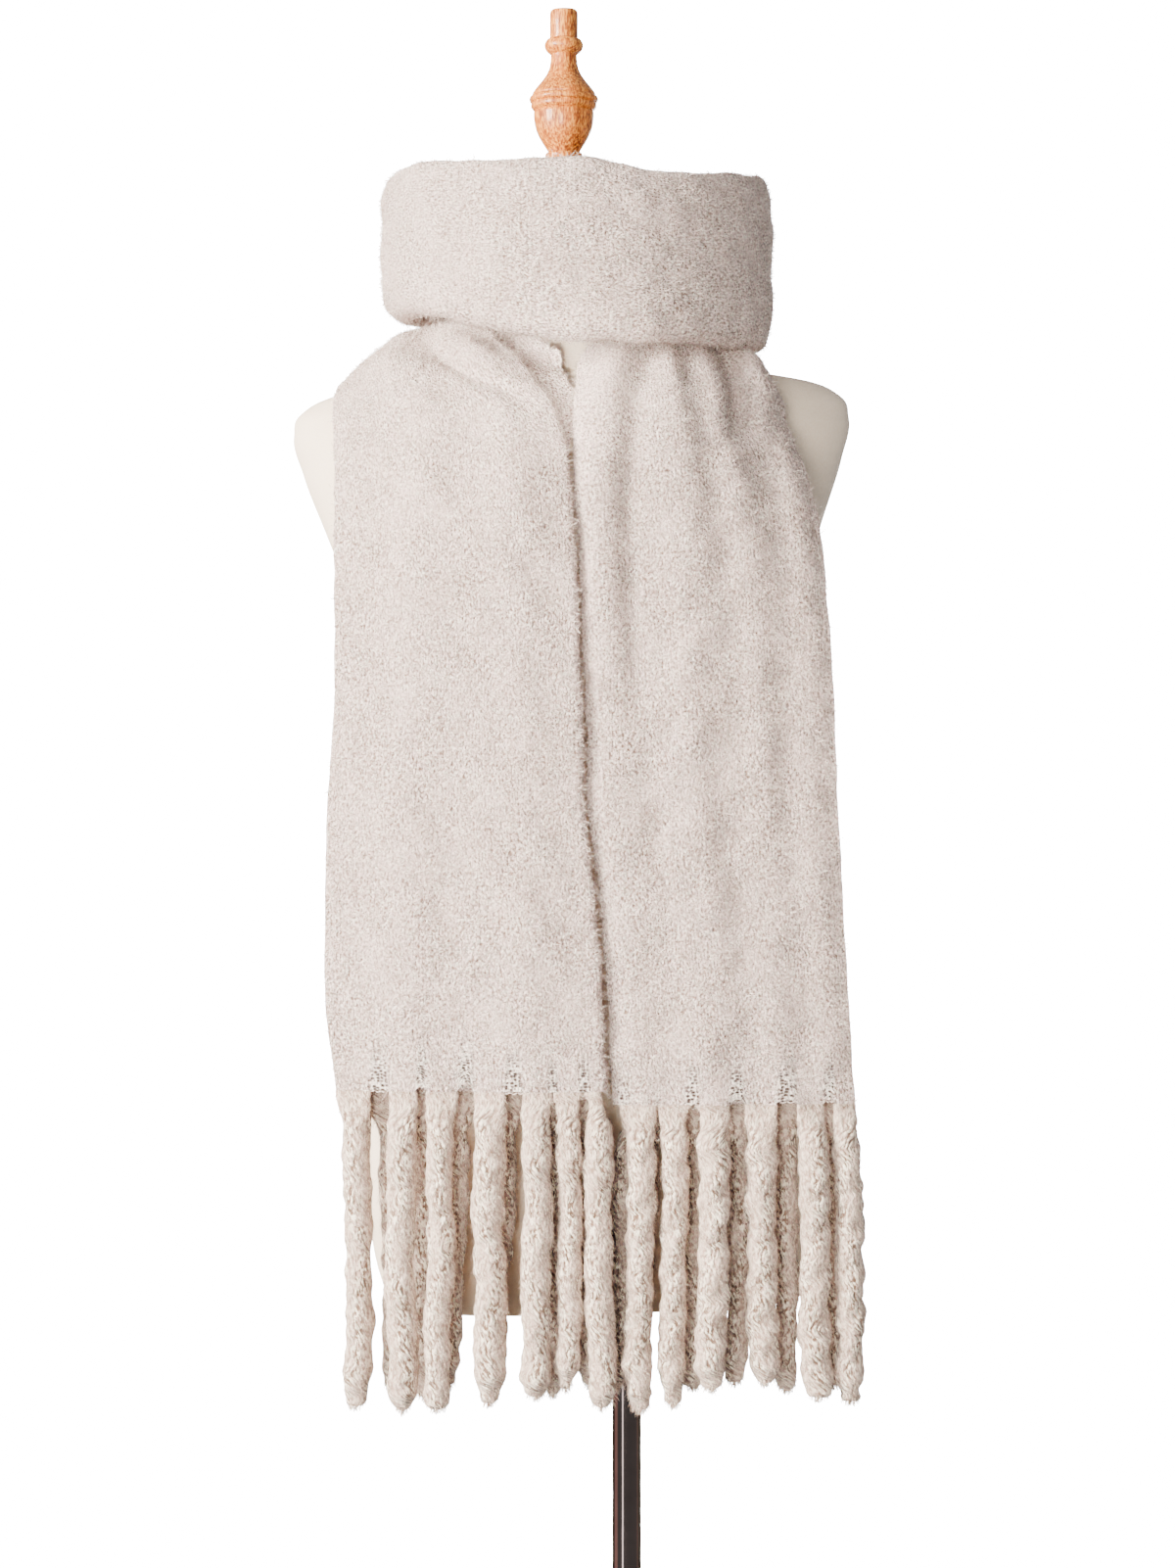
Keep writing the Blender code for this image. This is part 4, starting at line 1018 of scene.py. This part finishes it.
def nap_hair(name, light, dark, speck):
    """The loose hairs of the nap, tinted by place as the cloth under them is."""
    n = Nodes(name, light, 0.9, Sheen_Weight=0.2, Sheen_Roughness=0.5, Specular_IOR_Level=0.15)
    n.paint(
        dark,
        (n.ramp(n.noise(n.space, 60, 2), 0.35, 0.65), light),
        (n.ramp(n.noise(n.space, 640, 1), 0.49, 0.57, 0.0, 0.95), speck),
        (n.ramp(n.noise(n.space, 580, 1), 0.48, 0.39, 0.0, 0.9), CLOTH_BROWN),
    )
    return n.material


def yarn(name):
    """Brushed yarn of the locks: pale felted flanks, and a bare core of cream and brown loops."""
    n = Nodes(name, YARN, 0.92, Sheen_Weight=0.22, Sheen_Roughness=0.45, Specular_IOR_Level=0.2)
    slant = n.add("Mapping", {"Vector": n.flat, "Rotation": (0, 0, PLY_SLANT)}).outputs[0]
    strands = n.noise(slant, (520, 200, 1), 2, 0.6)
    loops = n.cells(slant, (430, 240, 1), 0.9)
    fuzz = n.noise(n.space, (420, 420, 210), 3, 0.7)
    core = n.ramp(n.mark("core"), 0.0, 0.8, 0.42, 1.0)
    n.paint(
        YARN_DARK,
        (n.ramp(n.noise(n.space, 60), 0.36, 0.64), YARN),
        (n.ramp(fuzz, 0.42, 0.66, 0.0, 0.7), YARN_LIGHT),
        (n.ramp(fuzz, 0.42, 0.3, 0.0, 0.6), YARN_SHADE),
        (n.times(n.ramp(loops, 0.36, 0.66), core), YARN_SHADE),
        (n.times(n.ramp(strands, 0.49, 0.57), core), YARN_SPECK),
    )
    height = n.times(n.ramp(loops, 0.0, 0.8, 1.0, 0.0), core)
    n.bump(n.plus(n.plus(n.times(strands, 1.2), height), n.times(fuzz, 1.2)), 0.0016)
    return n.material


def linen(name):
    """Fine plain weave of the form's cover, with painted shade: browner low on its front, behind the
    fringe.
    """
    n = Nodes(name, COVER, 0.85, Sheen_Weight=0.12, Specular_IOR_Level=0.25)
    weave = n.plus(n.noise(n.space, (1600, 1600, 300), 2), n.noise(n.space, (350, 350, 1800), 2))
    _, y, z = n.add("SeparateXYZ", {"Vector": n.space}).outputs
    n.paint(
        COVER_DARK,
        (n.ramp(n.noise(n.space, 9), 0.3, 0.7), COVER),
        (n.ramp(weave, 0.8, 1.2, 0.0, 0.35), COVER_LIGHT),
        # painted shade: the cover's front goes browner below z 0.6, where the fringe shades it
        (n.times(n.ramp(y, -0.03, -0.09), n.ramp(z, 0.6, 0.56, 0.0, 0.85)), COVER_SHADE),
    )
    n.bump(weave, 0.0004, 0.6)
    return n.material


def lacquered_wood(name):
    """Orange-brown wood with its grain upright, under gloss lacquer."""
    n = Nodes(name, WOOD, 0.5, Coat_Weight=0.22, Coat_Roughness=0.06, Specular_IOR_Level=0.3)
    rings = n.noise(n.space, (130, 130, 9), 4, 0.6, 0.6)
    streaks = n.noise(n.space, (800, 800, 170), 3, 0.7)
    n.paint(
        WOOD_DARK,
        (n.ramp(rings, 0.36, 0.66), WOOD),
        (n.ramp(streaks, 0.5, 0.6, 0.0, 0.9), WOOD_LIGHT),
        (n.ramp(streaks, 0.45, 0.36, 0.0, 0.85), WOOD_PORE),
    )
    n.link(n.ramp(streaks, 0.3, 0.7, 0.55, 0.42), "Roughness")
    n.bump(streaks, 0.0002, 0.5)
    return n.material


def metal(name, colour, dark, roughness, **settings):
    """Polished metal with fine lengthwise polishing marks and a few cloudy places."""
    n = Nodes(name, colour, roughness, **settings)
    clouds = n.noise(n.space, 24, 4)
    marks = n.noise(n.space, (1400, 1400, 30), 2)
    n.paint(dark, (n.ramp(clouds, 0.35, 0.7), colour))
    mottle = n.ramp(n.plus(clouds, marks), 0.7, 1.3, roughness * 0.8, roughness * 1.35)
    n.link(mottle, "Roughness")
    n.bump(marks, 0.00005, 0.1)
    return n.material


# Making


def make_end(name, shape, fold_at_right, arches, frays, material, hair, seed):
    """One hanging end, with its nap and loose threads. Returns its front and rear hems."""
    middle = lumpy(folded_end(*shape, fold_at_right), seed)
    hem = middle[0].copy()
    height = middle[..., 2]
    columns = np.arange(middle.shape[1])
    front = columns < FRONT_COLUMNS
    rear = columns >= len(columns) - HIDDEN_COLUMNS
    fray = cut_arches(middle, front, arches)
    for centre, width in frays:
        reach = np.abs(middle[..., 0] - centre) / width
        above = (height - hem[0, 2]) / FRAY_HEIGHT
        worn = np.clip(1.3 - reach**2 * 2, 0, 1) * np.clip(1 - above, 0, 1)
        fray = np.maximum(fray, worn * front)
    mesh, sides, normals = cloth_shell(name + "_cloth", middle, fray=fray)
    made = piece(name + "_cloth", mesh, material, [name])
    way = 1 if fold_at_right else -1
    face, back = sides[::way]
    shown = np.where(height < BAND_FOOT, 1.0, NAP_UNDER_BAND) * (1 - FRAY_BARE * fray)
    round_fold = columns < FRONT_COLUMNS + FOLD_STEPS - 1
    strip = (columns >= len(columns) - STRIP_COLUMNS) & (height > REACH_Z[2])
    first = scatter(face, normals * way, NAP_COUNT, seed + 3, shown * (round_fold | strip))
    second = scatter(back, -normals * way, NAP_COUNT // 3, seed + 4, shown * rear)
    nap = fibres(name + "_nap", [first, second], seed + 5, NAP_SIZES, hair)
    threads = hem_threads(name + "_hem_threads", hem[front], arches, hair, seed + 6)
    return hem[front], hem[rear]


def make_band(material, hair, seed):
    """The turn round the neck, with its nap."""
    middle = lumpy(band_grid(), seed, ring=True)
    middle[-1] = middle[0]
    mesh, (inside, outside), normals = cloth_shell("neck_band_cloth", middle, ring=True)
    made = piece("neck_band_cloth", mesh, material, ["neck_band"])
    columns = np.broadcast_to(np.arange(middle.shape[1]), middle.shape[:2])
    inner_stop = BAND_POINTS["inner"] + FOLD_STEPS + 3
    outer_start = inner_stop + BAND_POINTS["middle"]
    shown = columns >= outer_start
    first = scatter(outside, -normals, round(NAP_COUNT * 1.2), seed + 3, shown)
    second = scatter(inside, normals, NAP_COUNT // 4, seed + 4, columns < inner_stop)
    nap = fibres("neck_band_nap", [first, second], seed + 5, NAP_SIZES, hair)


def make_fringe(name, hem, locks, arches, twist, material, hair):
    """One row of locks, with its nap and the tufts at their tips. twist is the row's swing, the
    way it turns, the depth between its plies, and its seed."""
    seed = twist[-1]
    groups, falls = [], []
    surfaces = fringe_row(name + "_locks", "fringe_" + name, hem, locks, arches, *twist, material)
    for number, (points, normals, felted) in enumerate(surfaces):
        tip = smooth(1 - (points[..., 2] - points[..., 2].min()) / TUFT_HEIGHT)
        groups.append(scatter(points, normals, LOCK_NAP_COUNT, seed + 60 + number, felted))
        groups.append(scatter(points, normals, TUFT_COUNT, seed + 80 + number, tip))
        falls.append(np.repeat((LOCK_NAP_FALL, TUFT_FALL), (LOCK_NAP_COUNT, TUFT_COUNT)))
    fall = np.concatenate(falls)
    fibres(name + "_nap", groups, seed + 90, LOCK_NAP_SIZES, hair, fall)


def add_light(name, kind, location, target, power, colour, **settings):
    light = bpy.data.lights.new(name, kind)
    light.energy = power
    light.color = colour
    for key, value in settings.items():
        setattr(light, key, value)
    made = bpy.data.objects.new(name, light)
    made.location = location
    made.rotation_euler = (Vector(target) - Vector(location)).to_track_quat("-Z", "Y").to_euler()
    made.visible_camera = False
    bpy.context.scene.collection.objects.link(made)
    return made


def backdrop(name, outline, near_glow):
    """A turned part of the studio, so bright that it shows white but lights nothing itself."""
    mesh = skin(name, [turned(outline, STUDIO_SIDES)])
    n = Nodes(name + "_finish", FLOOR, 0.7, Emission_Color=(1, 1, 1))
    n.paint(FLOOR_DARK, (n.ramp(n.noise(n.space, 1.2, 2), 0.3, 0.7), FLOOR))
    away = n.add("VectorMath", {0: n.space}, operation="LENGTH").outputs["Value"]
    n.link(n.ramp(away, *FLOOR_FADE, near_glow, BACKDROP_GLOW), "Emission Strength")
    mesh.materials.append(n.material)
    made = bpy.data.objects.new(name, mesh)
    for bounce in ("diffuse", "glossy", "transmission", "shadow"):
        setattr(made, "visible_" + bounce, False)
    bpy.context.scene.collection.objects.link(made)


def studio():
    """Pale floor, white surround and soft lights, the strongest from the front left."""
    backdrop("floor", [(radius, 0.0) for radius in FLOOR_RADII], FLOOR_GLOW)
    rises = np.linspace(0, math.pi / 2, 17)
    dome = [(STUDIO_RADIUS * math.cos(a), STUDIO_RADIUS * math.sin(a)) for a in rises]
    backdrop("surround", dome, BACKDROP_GLOW)
    world = bpy.data.worlds.new("sky")
    world.use_nodes = True
    background = world.node_tree.nodes["Background"]
    background.inputs["Color"].default_value = (*WORLD_COLOUR, 1)
    background.inputs["Strength"].default_value = WORLD_STRENGTH
    bpy.context.scene.world = world
    for name, location, target, power, size in LIGHTS:
        add_light(name, "AREA", location, target, power, LIGHT_COLOUR, size=size)
    for name, location, power, width, height, colour in STRIPS:
        shape = dict(shape="RECTANGLE", size=width, size_y=height)
        made = add_light(name, "AREA", location, (0, 0, location[2]), power, colour, **shape)
        made.visible_diffuse = False
    soft = dict(spot_size=THROAT_SPREAD, spot_blend=1.0, shadow_soft_size=0.05)
    add_light("throat", "SPOT", *THROAT_LIGHT, LIGHT_COLOUR, **soft)


def camera():
    data = bpy.data.cameras.new("camera")
    data.sensor_fit = "VERTICAL"
    data.sensor_width = data.sensor_height = CAMERA_SENSOR
    data.lens = CAMERA_LENS
    made = bpy.data.objects.new("camera", data)
    made.location = CAMERA_AT
    made.rotation_euler = (math.pi / 2, 0, 0)
    bpy.context.scene.collection.objects.link(made)
    bpy.context.scene.camera = made


def main():
    camera()
    studio()
    cloth = brushed_cloth("brushed_cloth_finish")
    nap = nap_hair("nap_finish", NAP, NAP_DARK, SPECK_CREAM)
    locks = yarn("yarn_finish")
    lock_nap = nap_hair("yarn_nap_finish", YARN_NAP, YARN_NAP_DARK, YARN_SPECK)
    left_shape = (LEFT_END_ROWS, LEFT_PLEATS, LEFT_CREASES, LEFT_REACH)
    right_shape = (RIGHT_END_ROWS, RIGHT_PLEATS, RIGHT_CREASES, RIGHT_REACH)
    left = (LEFT_FRONT_LOCKS, LEFT_BACK_LOCKS, LEFT_ARCHES, [], LEFT_FLAT)
    right = (RIGHT_FRONT_LOCKS, RIGHT_BACK_LOCKS, RIGHT_ARCHES, [RIGHT_EDGE_FRAY], RIGHT_FLAT)
    for side, shape, details, way, ply_depth, seed in (
        ("left", left_shape, left, 1, 0.12, 10),
        ("right", right_shape, right, -1, 0.15, 20),
    ):
        front_locks, back_locks, gaps, frays, flat = details
        arches = hem_arches(front_locks, gaps)
        front, rear = make_end(side + "_end", shape, way > 0, arches, frays, cloth, nap, seed)
        back_arches = hem_arches(back_locks, [BACK_ARCH] * len(back_locks))
        rows = (
            ("_front", front, front_locks, arches, FRONT_ROW_SWING, 30 * seed),
            ("_back", rear, back_locks, back_arches, BACK_ROW_SWING, 30 * seed + 100),
        )
        for row, hem, row_locks, row_arches, swing, row_seed in rows:
            twist = (swing, way, ply_depth, row_seed)
            make_fringe(side + row, hem, row_locks, row_arches, twist, locks, lock_nap)
    make_band(cloth, nap, 30)
    form_shape(linen("linen_finish"))
    wood = lacquered_wood("wood_finish")
    chrome = metal("pole_finish", POLE, POLE_DARK, 0.1, Metallic=1.0, Specular_Tint=POLE_SHINE)
    dark = metal("base_finish", BASE, BASE_DARK, 0.35, Metallic=0.6)
    pole = ((POLE_RADIUS, POLE_TOP), (POLE_RADIUS, BASE_TOP + SEAM))
    lathe("finial_wood", FINIAL_PROFILE, FINIAL_X, 72, wood, "finial")
    lathe("pole_metal", pole, 0, 64, chrome, "pole")
    lathe("base_metal", BASE_PROFILE, 0, 128, dark, "base_plate", 4)
    for node, material in (("neck_cap", wood), ("pole_socket", chrome)):
        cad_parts[node].data.materials.clear()
        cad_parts[node].data.materials.append(material)


main()
